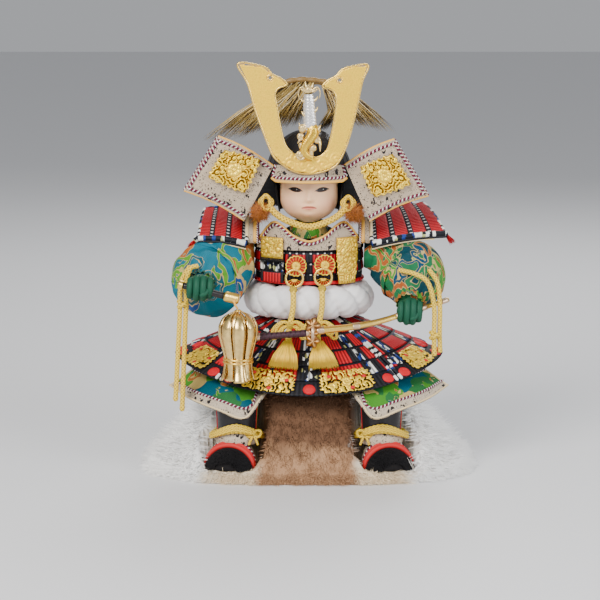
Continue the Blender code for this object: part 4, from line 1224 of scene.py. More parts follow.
@dataclass
class Studio:
    """Camera at the photograph's angle, pale floor and soft lamps."""

    target: tuple = (-0.008, -0.040, 0.152)
    distance: float = 2.3
    elevation: float = 9.0
    lens: float = 155.4

    def camera(self) -> None:
        """Sets the camera."""
        data = bpy.data.cameras.new("view")
        data.lens = self.lens
        data.sensor_width = 36.0
        data.clip_start = 0.05
        obj = bpy.data.objects.new("view", data)
        rise = math.radians(self.elevation)
        x, y, z = self.target
        obj.location = (x, y - self.distance * math.cos(rise), z + self.distance * math.sin(rise))
        obj.rotation_euler = (math.pi / 2 - rise, 0.0, 0.0)
        bpy.context.scene.collection.objects.link(obj)
        bpy.context.scene.camera = obj

    def lamp(self, name: str, place: Sequence, size: float, power: float, tint: Sequence) -> None:
        """Adds a soft square lamp that looks at the doll.

        Args:
            name: its name.
            place: where it stands.
            size: its side.
            power: its strength.
            tint: its colour.
        """
        data = bpy.data.lights.new(name, "AREA")
        data.size = size
        data.energy = power
        data.color = tint
        obj = bpy.data.objects.new(name, data)
        obj.location = place
        look = array([0.0, -0.03, 0.18]) - array(place)
        far = float(np.linalg.norm(look))
        obj.rotation_euler = (math.acos(-look[2] / far), 0.0, math.atan2(look[1], look[0]) - math.pi / 2)
        bpy.context.scene.collection.objects.link(obj)

    def build(self) -> None:
        """Sets lamps, sky and floor."""
        world = bpy.data.worlds.new("sky")
        world.use_nodes = True
        sky = world.node_tree.nodes["Background"]
        sky.inputs[0].default_value = (0.86, 0.88, 0.92, 1.0)
        sky.inputs[1].default_value = 0.47
        bpy.context.scene.world = world
        self.lamp("key_lamp", (-0.9, -1.5, 1.3), 0.9, 54.0, (1.0, 0.98, 0.95))
        self.lamp("fill_lamp", (1.3, -1.2, 0.8), 0.9, 23.0, (0.95, 0.97, 1.0))
        self.lamp("back_lamp", (0.3, 1.3, 1.3), 0.8, 16.0, (1.0, 1.0, 1.0))
        mesh = bpy.data.meshes.new("floor")
        mesh.from_pydata([(-6, -6, -0.0003), (6, -6, -0.0003), (6, 6, -0.0003), (-6, 6, -0.0003)], [],
                         [(0, 1, 2, 3)])
        floor = bpy.data.objects.new("floor", mesh)
        bpy.context.scene.collection.objects.link(floor)
        g = Graph("pale_floor")
        g.finish(Base_Color=(0.72, 0.72, 0.73), Roughness=0.55)
        mesh.materials.append(g.material)


# Hanging cords

@dataclass
class SleeveCords:
    """Four hanging strands of braided cord, each from a sleeve tie to its bare end."""

    radius: float = 2.1

    def routes(self) -> dict[str, tuple]:
        """The points that each strand passes."""
        return {
            "sleeve_cord_right_a": ((-104.5, -64.5, 186.0), (-110.5, -68.0, 176.0), (-112.8, -72.0, 165.0),
                                    (-113.0, -73.0, 150.0), (-115.0, -75.0, 112.0), (-117.5, -75.5, 67.6)),
            "sleeve_cord_right_b": ((-97.0, -70.0, 187.0), (-104.0, -71.5, 184.5), (-107.8, -71.5, 170.0),
                                    (-107.8, -72.0, 155.0), (-109.6, -74.0, 110.0), (-111.8, -75.0, 58.6)),
            "sleeve_cord_left_a": ((79.5, -52.6, 180.8), (94.0, -64.5, 178.5), (104.5, -66.5, 171.0),
                                   (109.8, -65.0, 150.0), (110.0, -65.0, 125.0), (110.5, -64.5, 106.0)),
            "sleeve_cord_left_b": ((105.8, -53.0, 181.2), (113.0, -60.0, 170.0), (115.0, -62.5, 150.0),
                                   (115.0, -62.5, 125.0), (115.6, -62.0, 108.6)),
        }

    def knot(self, name: str, centre: Sequence, reach: float) -> bpy.types.Object:
        """A tied knot: a cord wound one and a half times round the strand.

        Args:
            name: its name.
            centre: its middle.
            reach: radius of the winding.

        Returns:
            The knot.
        """
        turn = linspace(0, 3.4 * math.pi, 60)
        path = asarray(centre, float) + at(reach * cos(turn), reach * sin(turn),
                (turn - 5.3) * 0.42 + 1.1 * sin(turn * 1.5))
        skin = Skin()
        skin.tube(path, self.radius * 0.95, around=12)
        return skin.make(name, [CORD], "cord")

    def build(self) -> None:
        knots = {
            "sleeve_cord_right_a": self.knot("sleeve_cord_right_knot", (-110.6, -72.6, 153.0), 3.4),
            "sleeve_cord_left_a": self.knot("sleeve_cord_left_knot", (110.8, -64.2, 124.0), 3.4),
        }
        for name, knots_on in self.routes().items():
            path = smooth(knots_on, 150)
            run = shares(len(path))
            turn = turns(25)
            along = linspace(0, length_of(path), len(path))[:, None]
            ridge = maximum(sin(4 * turn + along * TAU / 3.4), sin(4 * turn - along * TAU / 3.4))
            radius = self.radius * (1 + 0.12 * exp(-((run - 0.985) / 0.02) ** 2)) * clip((1.004 - run) * 60,
                    0.45, 1) ** 0.5
            skin = Skin()
            skin.grid(sweep(path, radius, 24, (0, 1, 0.2), shape=0.97 + 0.05 * ridge), ends=True)
            obj = skin.make(name + "_braid", [CORD], "cord", [name])
            round(length_of(path) * MM, 3)


# Seat and feet

@dataclass
class FurPelt:
    """White and brown pelt over the seat: a low mound with two hollows for the feet, and its hair."""

    frame: dict
    half_width: float = 144.0
    half_depth: float = 103.5
    middle_y: float = -5.5
    strands: int = 9800
    squareness: float = 3.2
    hollow: float = 9.2
    overhang: float = 10.0

    def oblong(self, turn: Array, scale: Array) -> tuple[Array, Array]:
        """Points of rounded oblongs: cosine and sine over the root of the sum of their powers.

        Args:
            turn: angle round the middle.
            scale: share of the way out.

        Returns:
            Across and back.
        """
        power = self.squareness
        square = (abs(cos(turn)) ** power + abs(sin(turn)) ** power) ** (-1 / power)
        x = self.half_width * scale * square * cos(turn)
        return x, self.middle_y + self.half_depth * scale * square * sin(turn)

    def height(self, x: Array, y: Array) -> Array:
        """Height of the mound: the oblong through the point picks it; lower in the hollows."""
        power = self.squareness
        across, back = abs(x / self.half_width), abs((y - self.middle_y) / self.half_depth)
        scale = (across ** power + back ** power) ** (1 / power)
        rings = ((0.46, 71.3), (0.53, 67), (0.6, 58), (0.71, 42), (0.83, 24), (0.915, 11), (0.965, 5),
                 (0.992, 1.5), (1.0, 0.2))
        top = interp(scale, [r[0] for r in rings], [r[1] for r in rings])
        for side in (-1, 1):
            oval = ((x - side * 66) / 30) ** 2 + ((y + 72) / 33) ** 2
            top = where(oval < 1.0, minimum(top, self.hollow), top)
        return top

    def tone(self, x: Array, y: Array, z: Array, luck: Array) -> Array:
        """Colour of the pelt: white at its ends, cream below the feet, brown in the middle.

        Args:
            x: across.
            y: back.
            z: up.
            luck: a random number for each.

        Returns:
            Colours.
        """
        white, cream, brown, red = paint((0.98, 0.97, 0.95), (0.82, 0.67, 0.47), (0.17, 0.085, 0.045),
                (0.46, 0.26, 0.14))
        edge = bump_noise(x * 0.09, y * 0.09 + z * 0.08, 2.0) * 7 + (luck - 0.5) * 10
        middle = clip((abs(x + 2) + edge * 0.6 - 40) / 8, 0, 1)[..., None]
        inner = red + (brown - red) * clip((z - 22 + edge) / 12, 0, 1)[..., None]
        share = clip((abs(x) + edge - 78) / 16, 0, 1) + clip((z + edge - 16) / 16, 0, 1)
        outer = cream + (white - cream) * clip(share, 0, 1)[..., None]
        return inner + (outer - inner) * middle

    def build(self) -> None:
        """Makes the pelt as a draped sheet and four pieces of hair."""
        turn, scale = meshgrid(turns(169), np.r_[1.0, 0.995, 0.985, linspace(0.97, 0.0, 44)])
        x, y = self.oblong(turn, scale)
        z = self.height(x, y)
        z = z + bump_noise(x * 0.3, y * 0.3, 1.0) * 0.6 * (z > 2) * (z != self.hollow)
        skin = Skin()
        skin.grid(at(x, y, z), at(x, y), self.tone(x, y, z, np.full_like(x, 0.5)), away=(0, 0, -400))
        base = skin.make("fur_base", [PELT], "fur", ["fur_pelt"])
        for part, (low, high) in enumerate(((-200, -58), (-58, 0), (0, 58), (58, 200))):
            self.hair(f"fur_hair_{part + 1}", low, high, 40 + part)

    def hair(self, name: str, low: float, high: float, seed: int) -> None:
        """Grows hair on one part of the pelt: out from it, down with gravity, in tufts.

        Args:
            name: the piece's name.
            low: least x.
            high: greatest x.
            seed: picks the strands.
        """
        rng = np.random.default_rng(seed)
        count = self.strands * 4
        turn = rng.uniform(0, TAU, count)
        scale = where(rng.random(count) < 0.42, rng.uniform(0.93, 1.0, count),
                      sqrt(rng.uniform(0.18, 0.9, count)))
        x, y = self.oblong(turn, scale)
        pick = np.flatnonzero((x >= low) & (x < high))[:self.strands]
        x, y = x[pick], y[pick]
        z = self.height(x, y)
        step = 1.5
        slope = at((self.height(x + step, y) - self.height(x - step, y)) / (2 * step),
                   (self.height(x, y + step) - self.height(x, y - step)) / (2 * step), -ones(len(x)))
        out = -unit(clip(slope, -2.5, 2.5))
        luck = rng.random(len(x))
        shaggy = clip((abs(x) - 45) / 40, 0, 1)
        tuft = at(bump_noise(x * 0.25, y * 0.25 + z * 0.2, 5.0),
                  bump_noise(x * 0.3, y * 0.2 - z * 0.3, 9.0), bump_noise(x * 0.2, y * 0.3, 3.0))
        wild = rng.normal(0, 1, (len(x), 3))
        run = unit(out * (0.42 + 0.3 * shaggy[:, None]) + [0, 0, -0.55] + tuft * 0.55 + wild * 0.16
                   - slope * [0.25, 0.25, 0])
        long = (6.5 + 8.0 * shaggy) * (0.6 + 0.7 * rng.random(len(x))) * where((abs(x) < 60) & (y < -40)
                & (z < 12), 0.6, 1.0)
        low = clip(1 - z / 14, 0, 1)[:, None]
        flat = unit(at(x, (y - self.middle_y) * 1.4, 0 * x) + wild * 22)
        run = unit(run * (1 - 0.75 * low) + flat * low * 0.9)
        long = long + low[:, 0] * (rng.uniform(2, 13, len(x)) * (0.9 + 0.6 * tuft[:, 0]) - long)
        long = where(z == self.hollow, 3.0, long)
        roots = at(x, y, z) - out * 0.6
        tips = roots + run * long[:, None]
        tips[:, 2] = maximum(tips[:, 2], 0.2 + 0.6 * luck)
        tips[:, 0] = clip(tips[:, 0], -self.half_width - self.overhang, self.half_width + self.overhang)
        tips[:, 1] = clip(tips[:, 1], self.middle_y - self.half_depth - 15.5,
                          self.middle_y + self.half_depth + 12)
        roots[:, 2] = maximum(roots[:, 2], 0.5)
        skin = Skin()
        skin.hairs(roots, tips, None, 0.34 + 0.13 * luck, self.tone(x, y, z, luck))
        skin.make(name, [FUR], "fur", weld=False)


@dataclass
class Leg:
    """One lower leg: lacquered shin guard, tied cord, leather band and fur shoe."""

    frame: dict
    shin_y: float = -62.0
    foot_x: float = 64.0

    def build(self) -> None:
        """Makes both legs."""
        for side, word in ((-1, "right"), (1, "left")):
            self.shin(side, word)
            self.cords(side, word)
            self.shoe(side, word)
        dress(self.frame, DARK, "leg_right", "leg_left")

    def shin(self, side: int, word: str) -> None:
        """Shin guard: a bent plate whose reach grows upward, with lining and brocade at both edges.

        Args:
            side: -1 or 1 across.
            word: which side.
        """
        def surface(turn: Array, z: Array, off: float) -> Array:
            """Point at an angle from the front and a height."""
            reach = interp(z, (37, 45, 53, 60, 63), (14.3, 14.7, 15.1, 15.5, 15.6)) + 2.8 + off
            angle = radians(turn)
            return at(side * self.foot_x + reach * sin(angle), self.shin_y - reach * cos(angle), z)
        skin = Skin()
        bands = ((-112, -88, 2, 0.5), (-88, -76, 1, 0.2), (-76, 76, 0, 0.0), (76, 88, 1, 0.2),
                 (88, 112, 2, 0.5))
        for low, high, kind, off in bands:
            turn, share = meshgrid(radians(linspace(low, high, max(4, (high - low) // 4))), shares(21))
            z = 37 + share * (23 + 3 * cos(turn / 2) ** 4)
            keel = 0.7 * exp(-(turn / 0.16) ** 2) * (kind == 0)
            rim = 0.5 * exp(-((share - 1) / 0.03) ** 2) + 0.5 * exp(-(share / 0.03) ** 2)
            skin.grid(surface(np.degrees(turn), z, off + keel + rim), at(turn * 16, z), kind=kind,
                      away=(side * self.foot_x, self.shin_y, 50))
        skin.make(f"shin_plate_{word}", [LACQUER, LINING, BAND], "lacquer", [f"shin_guard_{word}"],
                  wall=2.2)

    def cords(self, side: int, word: str) -> None:
        """Ankle cord tied round four times, with a knot and two loops in front.

        Args:
            side: -1 or 1 across.
            word: which side.
        """
        skin = Skin()
        turn = turns(145)
        for z, grow, tip in ((47.0, 0.4, 9.0), (45.0, 1.6, 8.0), (43.0, 2.0, 8.5), (41.4, 1.0, 6.0)):
            reach = 19.8 + grow
            path = at(side * self.foot_x + (reach + 1.6) * sin(turn), self.shin_y - reach * cos(turn),
                      z - tip * abs(sin(turn)) ** 1.6 - 3.0 * sin(turn / 2) ** 2)
            skin.tube(path, 1.45 + 0.22 * sin(36 * turn + 0.8), closed=True, around=8)
        front = (side * self.foot_x - side * 15.0, -77.6)
        for hand in (-1, 1):
            knots = ((0, 0, 39), (3 * hand, -1.6, 42), (6.5 * hand, -1.0, 41), (6.0 * hand, -0.6, 37.5),
                     (3 * hand, -1.4, 36), (0, 0, 38))
            skin.tube(smooth([(front[0] + a, front[1] + b, c) for a, b, c in knots], 40), 1.15,
                      guide=TILTED)
            tail = smooth([(front[0], front[1] - 0.6, 38), (front[0] + hand * 2.5, front[1] - 1.6, 33),
                           (front[0] + hand * 4, front[1] - 1.4, 29)], 20)
            skin.tube(tail, 1.1, guide=TILTED)
        skin.ball((front[0], front[1] - 0.8, 38.6), (2.4, 2.0, 2.2), bend=lambda d,
                  t: 1 + 0.1 * sin(5 * t + 4 * d))
        skin.make(f"ankle_tie_{word}", [CORD], "cord", [f"ankle_cord_{word}"])

    def shoe(self, side: int, word: str) -> None:
        """Fur shoe: half ovals carried along the foot, with hair that lies towards the toe.

        Args:
            side: -1 or 1 across.
            word: which side.
        """
        toe = math.radians(14)

        def surface(u: Array, v: Array) -> Array:
            """Section turn u and share v along the foot."""
            half = interp(v, (0, 0.06, 0.22, 0.45, 0.63, 0.71, 0.86, 0.96, 1),
                          (9, 15, 18.5, 20.5, 21, 19.5, 17, 12, 6))
            tall = interp(v, (0, 0.06, 0.22, 0.45, 0.63, 0.71, 0.86, 0.96, 1),
                          (12, 18, 21.5, 22, 19.5, 15, 11.5, 8, 4.5))
            angle = u * TAU
            across = half * cos(angle)
            rise = where(sin(angle) > 0, tall * sin(angle), 1.3 * sin(angle))
            along = -14 + 51 * v
            return at(side * (self.foot_x + 1 + across * math.cos(toe) + along * math.sin(toe)),
                      self.shin_y - (along * math.cos(toe) - across * math.sin(toe)), 10.6 + rise)
        skin = Skin()
        dark = (0.010, 0.009, 0.010, 1.0)
        middle = (side * 66, -72, 16)
        for low, high, kind in ((0.0, 0.56, 1), (0.56, 0.68, 3), (0.68, 1.0, 0)):
            u, v = meshgrid(shares(49), linspace(low, high, 3 + int(30 * (high - low))))
            skin.grid(surface(u, v), at(u * 60, v * 50), dye=dark, kind=kind, away=middle)
        for end in (0.0, 1.0):
            ring = surface(shares(49), np.full(49, end))
            skin.grid(stack([ring, broadcast_to(ring.mean(axis=0), ring.shape)]), dye=dark, away=middle)
        arch = linspace(-0.02, 0.52, 60)
        for v, lift, radius, kind in ((0.53, 0.8, 1.2, 2), (0.66, 1.0, 2.2, 3), (0.6, 0.6, 1.5, 3)):
            line = surface(arch, np.full(60, v))
            skin.tube(line + unit(line - array(middle)) * lift, radius, kind=kind, guide=(0, 1, 0.2),
                      plies=PLY * (kind == 2))
        angle, share = meshgrid(turns(61), shares(8))
        reach = 17.6 + 1.2 * sin(math.pi * share) + (1 - share) * 1.2
        skin.grid(at(side * self.foot_x + reach * sin(angle), self.shin_y - reach * cos(angle),
                     28.5 + 11.5 * share), kind=1, away=(side * self.foot_x, self.shin_y, 33))
        skin.make(f"fur_shoe_{word}", [PELT, BORDER, EDGING, LINING], "black_fur", [f"shoe_{word}"])
        rng = np.random.default_rng(5 + side)
        count = 4000
        u, v = rng.uniform(-0.03, 0.53, count), rng.uniform(0.71, 0.98, count)
        here = surface(u, v)
        out = unit(here - array([side * 67.0, -76.0, 8.0]))
        ahead = array([side * math.sin(toe), -math.cos(toe), -0.35])
        fan = np.sign(cos(u * TAU))[:, None] * abs(cos(u * TAU))[:, None] ** 2 * [side * 0.9, 0, 0]
        run = unit(ahead * 0.9 + out * 0.2 + fan + rng.normal(0, 0.2, (count, 3)))
        long = rng.uniform(2.5, 4.5, count)[:, None]
        tips = here + run * long
        tips[:, 2] = maximum(tips[:, 2], 8.0)
        hair = Skin()
        shade = varied(rng.uniform(0.5, 1.6, count), (0.011, 0.010, 0.011))
        hair.hairs(here, tips, None, 0.42, shade)
        hair.make(f"shoe_hair_{word}", [FUR], "black_fur", weld=False)


@dataclass
class ThighGuards:
    """Two curved guards over the thighs: brocade, a braid, and a speckled leather border."""

    frame: dict
    top: tuple = ((-104, -20, 84), (-88, -41, 82.5), (-70, -55, 82.3), (-52, -64, 79.2), (-37, -68, 74))
    hem: tuple = ((-124, -28, 71), (-105, -63, 66), (-80, -84, 60), (-56, -94, 54.5), (-41, -89, 70.5))
    wall: float = 2.4

    def build(self) -> None:
        """Makes both guards."""
        for side, word in ((1, "right"), (-1, "left")):
            flip = array([side, 1, 1])
            top = smooth([array(p) * flip for p in self.top], 60)
            hem = smooth([array(p) * flip for p in self.hem], 60)

            def surface(u: Array, v: Array) -> Array:
                """Between the top and the hem, bulged forward by a sine."""
                ends = [stack([interp(u, shares(60), line[:, k]) for k in range(3)], axis=-1)
                        for line in (top, hem)]
                spot = ends[0] + (ends[1] - ends[0]) * v[..., None]
                return spot - array([0, 1, 0]) * (1.5 * sin(math.pi * clip(v, 0, 1)))[..., None]
            place = raised(surface, (0, -1, 0.5))
            away = (0, 60, 75)
            skin, trim = Skin(), Skin()
            for us, ue, vs, ve, kind, proud in ((0.0, 0.9, 0.0, 0.7, 0, 0.0), (0.0, 0.9, 0.7, 1.0, 1, 0.25),
                    (0.9, 1.0, 0.0, 1.0, 1, 0.25)):
                u, v = meshgrid(linspace(us, ue, 3 + int(60 * (ue - us))),
                                linspace(vs, ve, 3 + int(22 * (ve - vs))))
                wave = 0.35 * bump_noise(u * 26, v * 5, 3.0)
                skin.grid(place(u, v, self.wall + wave + proud), at(u * 90, v * 32), kind=kind, away=away)
            line = shares(60)
            bend = np.r_[at(line * 0.9, 0 * line + 0.72), at(0 * line + 0.9, 0.72 * (1 - line))[1:]]
            trim.tube(place(bend[:, 0], bend[:, 1], self.wall + 0.7), 1.2, plies=PLY, guide=TILTED)
            for eu, ev in ((line, 0 * line + 0.985), (0 * line + 0.99, line), (0 * line + 0.01, line)):
                trim.tube(place(eu, ev, self.wall + 0.1), 0.8, kind=1, guide=TILTED)
            trim.tube(place(line, 0 * line + 0.01, self.wall), 0.9, plies=PLY, guide=TILTED)
            hem = trim.make(f"thigh_trim_{word}", [EDGING, PALE_PIPING], "brocade")
            piece = skin.make(f"thigh_cover_{word}", [BAND, BORDER], "brocade", [f"thigh_guard_{word}"],
                              wall=2.2)


# Skirt and chest armour

@dataclass
class Skirt:
    """Four laced skirt panels of five rows, with gilt plates near the hem."""

    frame: dict
    rows: int = 5

    def point(self, turn: Array, share: Array, lift: Array) -> Array:
        """Skirt surface: ovals from the waist to the hem, bulged by a sine, the hem rising at the sides.

        Args:
            turn: degrees from the front.
            share: from waist to hem.
            lift: how far outwards.

        Returns:
            Points.
        """
        angle = radians(turn)
        front = cos(angle) > 0
        hem_y = where(front, 84, 62)
        hem_z = where(front, 75, 82)
        hem_z = hem_z + (99 - hem_z) * abs(sin(angle)) ** 2.2
        bulge = sin(math.pi * clip(share, 0, 1))
        rx = 31.7 + (116 - 31.7) * share + 6 * bulge + lift
        ry = 23.7 + (hem_y - 23.7) * share + 5 * bulge + lift
        return at(rx * sin(angle), -3 - ry * cos(angle), 133.5 + (hem_z - 133.5) * share)

    def panel(self, word: str, low: float, high: float, laces: int, spans: Sequence[Span],
              plates: Sequence) -> None:
        """Makes one panel.

        Args:
            word: which panel.
            low: angle where it starts.
            high: angle where it ends.
            laces: laces in a row.
            spans: dyes of the laces.
            plates: middle angle, half angle, and shares of each gilt plate.
        """
        def place(u: Array, v: Array, lift: Array) -> Array:
            """Panel surface by shares."""
            return self.point(low + (high - low) * u, v, lift)
        away = (0, -3, 118)
        wide = math.radians(high - low) * 78
        skin = Skin()
        laced_rows(skin, place, self.rows, laces, spans, wide, 62, away, heads=0.16,
                   fine=3 if word == "back" else 4)
        for row in range(self.rows - (1 if word == "front" else 2), self.rows):
            count = 2 * round((high - low) / 17.5) + 1
            for k in range(count):
                turn = low + (high - low) * (k + 0.5) / count
                hidden = [abs(turn - middle) < half + 1.5 and row / 5 < foot for middle, half, _,
                          foot in plates]
                if any(hidden):
                    continue
                dye = Dye.RED if (k + row) % 3 or row == self.rows - 1 else Dye.MOTTLED
                button(skin, place, (k + 0.5) / count, (row + 0.56) / self.rows,
                       (0.37 / count, 0.34 / self.rows), 4.8, 3.0, away, dye)
        u, v = mesh_of(24, 20)
        skin.grid(place(u, v, 0.3), at(u * wide, v * 62), Dye.BLACK)
        line = shares(60)
        for end in (0.004, 0.996):
            skin.tube(place(0 * line + end, line * 0.985, 3.6 + 1.2 * (line * 5 % 1)), 1.5, dye=Dye.MOTTLED,
                      guide=(math.sin(math.radians(low + high)), -1, 0.3))
        skin.make(f"skirt_lacing_{word}", [SILK], "lacing", [f"skirt_{word}"])
        for k, (middle, half, top, foot) in enumerate(plates):
            def plate(u: Array, v: Array, lift: Array) -> Array:
                """Gilt plate surface by shares."""
                return self.point(middle + half * (2 * u - 1), top + (foot - top) * v, lift)
            metal = Skin()
            broad = math.radians(2 * half) * 100
            ornament(metal, plate, broad, (foot - top) * 62, 0.52, 6.6, 1.7, 20 + k + int(abs(middle)), 4.0,
                     0.05, away)
            for across, down in ((0.2, 0.24), (0.83, 0.4), (0.56, 0.8)):
                button(metal, plate, across, down, (0.04, 0.07), 8.2, 1.6, away)
                metal.kinds[-1][:] = 1
            metal.make(f"skirt_plate_{word}_{k + 1}", [RELIEF, LINING], "gold", wall=1.0)

    def build(self) -> None:
        """Makes the four panels."""
        rows = tuple(range(4))
        red, mixed, black = Dye.RED, Dye.MOTTLED, Dye.BLACK
        front = [Span(rows, 0.0, 1.0, red), Span(rows, 0.45, 0.55, mixed)]
        for row in rows:
            shift = 0.035 * row
            for start in (0.17 - shift, 0.77 + shift):
                front += [Span((row,), start - 0.035, start + 0.095, black),
                          Span((row,), start, start + 0.06, mixed)]
            front += [Span((row,), 0.415, 0.45, black), Span((row,), 0.55, 0.585, black)]
            front += [Span((row,), 0.32 - 0.02 * row, 0.345 - 0.02 * row,
                           black)] if row % 2 else [Span((row,), 0.68, 0.7, black)]
        side = [Span(rows, 0.0, 1.0, red)]
        for start in (0.08, 0.42, 0.8):
            side += [Span(rows, start - 0.03, start + 0.1, black), Span(rows, start, start + 0.07, mixed)]
        self.panel("front", -41, 41, 40, front, ((-19.0, 13.2, 0.66, 0.97), (17.2, 13.2, 0.66, 0.97)))
        self.panel("right", -116.5, -43, 36, side, ((-62, 10, 0.62, 0.95),))
        self.panel("left", 43, 116.5, 36, side, ((62, 10, 0.62, 0.95),))
        self.panel("back", 121, 239, 56, side, ())


@dataclass
class Cuirass:
    """Laced cuirass, its leather top and straps, two gilt breast plates and the sash."""

    frame: dict

    def build(self) -> None:
        """Makes the chest armour."""
        self.lacing()
        self.leather()
        self.straps()
        self.plates()
        self.sash()

    def lacing(self) -> None:
        """Four laced rows round the chest, with the waist rows drawn in."""
        def place(u: Array, v: Array, lift: Array) -> Array:
            """Oval by turn, drawn in below."""
            angle = u * TAU
            draw = 1 - 0.04 * clip((v - 0.75) * 4, 0, 1)
            return at((49 + lift) * draw * sin(angle), -3 - (40 + lift) * draw * cos(angle), 204.5 - 38 * v)
        def turn_of(x: float) -> float:
            """Share of the turn where the chest is x across."""
            return math.asin(x / 49) / TAU % 1
        spans = [Span((1, 2), 0.0, 1.0, Dye.RED)]
        spans += [Span((1, 2), turn_of(-2.6), 1.0, Dye.BLACK), Span((1, 2), 0.0, turn_of(2.6), Dye.BLACK)]
        for x in (16.0, 24.0, -19.0, -25.0, 44.0, -44.0):
            spans.append(Span((1, 2), turn_of(x), turn_of(x + 3.0), Dye.BLACK))
        skin = Skin()
        laced_rows(skin, place, 4, 96, spans, 280, 38, (0, -3, 185), lift=-1.6, flare=1.2, cord=0.9,
                   heads=0.22, dots=True)
        turn = turns(181)
        wave = 1 + 0.016 * abs(sin(turn * 30))
        skin.tube(at(47.6 * sin(turn) * wave, -3 - 38.8 * cos(turn) * wave, 167.4 + 0 * turn), 1.6, Dye.RED,
                  closed=True)
        skin.make("cuirass_lacing", [SILK], "lacing", ["cuirass"])

    def leather(self) -> None:
        """Wavy leather above the cuirass: its plate stays, and gets piping and braid along the top."""
        top = smooth([(-45, 204.5), (-37, 217), (-31, 222), (-24, 219), (-14, 210.5), (0, 205.5),
                      (14, 210.5), (24, 219), (31, 222), (37, 217), (45, 204.5)], 160)
        skin = Skin()
        for down, out, radius, kind in ((0.4, 2.4, 1.0, 0), (2.9, 3.0, 1.25, 1)):
            x, z = top[:, 0] * (1 - down * 0.006), top[:, 1] - down
            skin.tube(at(x, chest_y(x, out), z), radius, kind=kind, guide=TILTED, plies=PLY * kind)
        skin.make("breast_leather_trim", [PIPING, EDGING], "brocade")
        dress(self.frame, LEATHER, "breast_leather")

    def straps(self) -> None:
        """Shoulder straps: leather over the shoulder with braid and piping at both edges."""
        for side, word in ((-1, "right"), (1, "left")):
            line = smooth([(chest_y(array(44.0), 2.6) - 0.9, 201.5), (-27, 208), (-22, 217), (-8, 220.5),
                           (6, 218.5), (14, 211), (16.6, 203), (17, 198)], 60)
            path = at(0 * line[:, 0], line[:, 0], line[:, 1])
            slope = unit(np.gradient(path, axis=0))
            rise = unit(cross(slope, array([-1.0, 0, 0])))
            rise = rise * np.sign(rise[:, 2:].mean() or 1)
            across = linspace(45.6, 55.4, 9) * side
            skin = Skin()
            lift = 1.25 + 0.25 * sin(linspace(0, math.pi, 9))
            points = path[:, None] + rise[:, None] * lift[None, :, None]
            points = points + at(across, 0 * across, 0 * across)[None]
            skin.grid(points, away=(side * 50, 0, 195))
            for x, kind, radius in ((45.9, 1, 1.2), (48.0, 2, 0.7), (55.2, 3, 1.0)):
                skin.tube(path + rise * 1.3 + [side * x, 0, 0], radius, kind=kind, guide=ACROSS,
                          plies=PLY * (kind == 1))
            skin.make(f"strap_cover_{word}", [LEATHER, EDGING, PIPING, PALE_PIPING], "leather",
                      [f"shoulder_strap_{word}"], wall=2.4)

    def plates(self) -> None:
        """Long gilt plates over the breast: curls in relief on a tapered plate, one fringed and laced."""
        for side, word, centre, half, foot in ((-1, "right", -33.0, 10.4, 168.0),
                (1, "left", 34.0, 10.0, 166.6)):
            def place(u: Array, v: Array, lift: Array) -> Array:
                """Plate surface by shares, narrowing below."""
                z = 208 - (208 - foot) * v
                wide = half - (0.09 * maximum(190 - z, 0) if side > 0 else 0)
                x = centre + wide * (2 * u - 1)
                return at(x, chest_y(x, 3.0) - lift, z)
            metal = Skin()
            tall = 208 - foot
            show = 0.46 if side < 0 else 1.0

            def upper(u: Array, v: Array, lift: Array) -> Array:
                """The gilt part of the plate."""
                return place(u, v * show, lift)
            u, v = mesh_of(14, 20)
            # painted shade: the plate under the ornament is dyed towards the deep tone
            metal.grid(place(0.04 + u * 0.92, v, 2.0), dye=(0.4, 0.4, 1, 1), away=(0, 0, 190))
            ornament(metal, upper, 2 * half, tall * show, 0.52, 2.2, 1.2, 31 + side, 0.0, 0.0, (0, 0, 190),
                     pitch=2.3)
            metal.make(f"breast_gilding_{word}", [RELIEF, PLATE], "gold", [f"breast_plate_{word}"],
                       wall=1.4)
            if side < 0:
                silk = Skin()

                def lower(u: Array, v: Array, lift: Array) -> Array:
                    """The laced part of the plate."""
                    return place(u, 0.5 + v * 0.5, lift)
                spans = [Span((0,), 0.0, 1.0, Dye.MOTTLED), Span((1,), 0.1, 0.45, Dye.RED),
                         Span((1,), 0.55, 0.9, Dye.RED)]
                laced_rows(silk, lower, 2, 8, spans, 21, 20, (0, 0, 190), lift=2.2, flare=0.8, cord=0.8)
                rng = np.random.default_rng(3)
                u = np.repeat(linspace(0.04, 0.96, 34), 3)
                roots = place(u, 0 * u + 0.46, 3.4)
                tips = place(u + rng.normal(0, 0.01, len(u)), 0 * u + 0.62, 3.6)
                silk.hairs(roots, tips, None, 0.32, broadcast_to(array([0.01, 0.01, 0.012, 1]),
                        (len(u), 4)))
                silk.make("breast_fringe_right", [SILK], "lacing")

    def sash(self) -> None:
        """Stuffed satin sash: a fat ring whose lobes wind round it."""
        u, v = meshgrid(turns(49), turns(241))
        lobe = 3.8 * abs(cos((2 * u + 14 * v + 0.5) / 2)) ** 0.5 - 2.7 + 0.25 * sin(9 * u - 31 * v)
        reach = (12.6 + lobe) * cos(u)
        points = at((45.2 + reach) * cos(v), -3 + (37.2 + reach) * sin(v), 149.6 + (14.2 + lobe) * sin(u))
        skin = Skin()
        skin.grid(points, at(u * 13, v * 42))
        piece = skin.make("sash_satin", [WHITE], "sash", ["sash"])


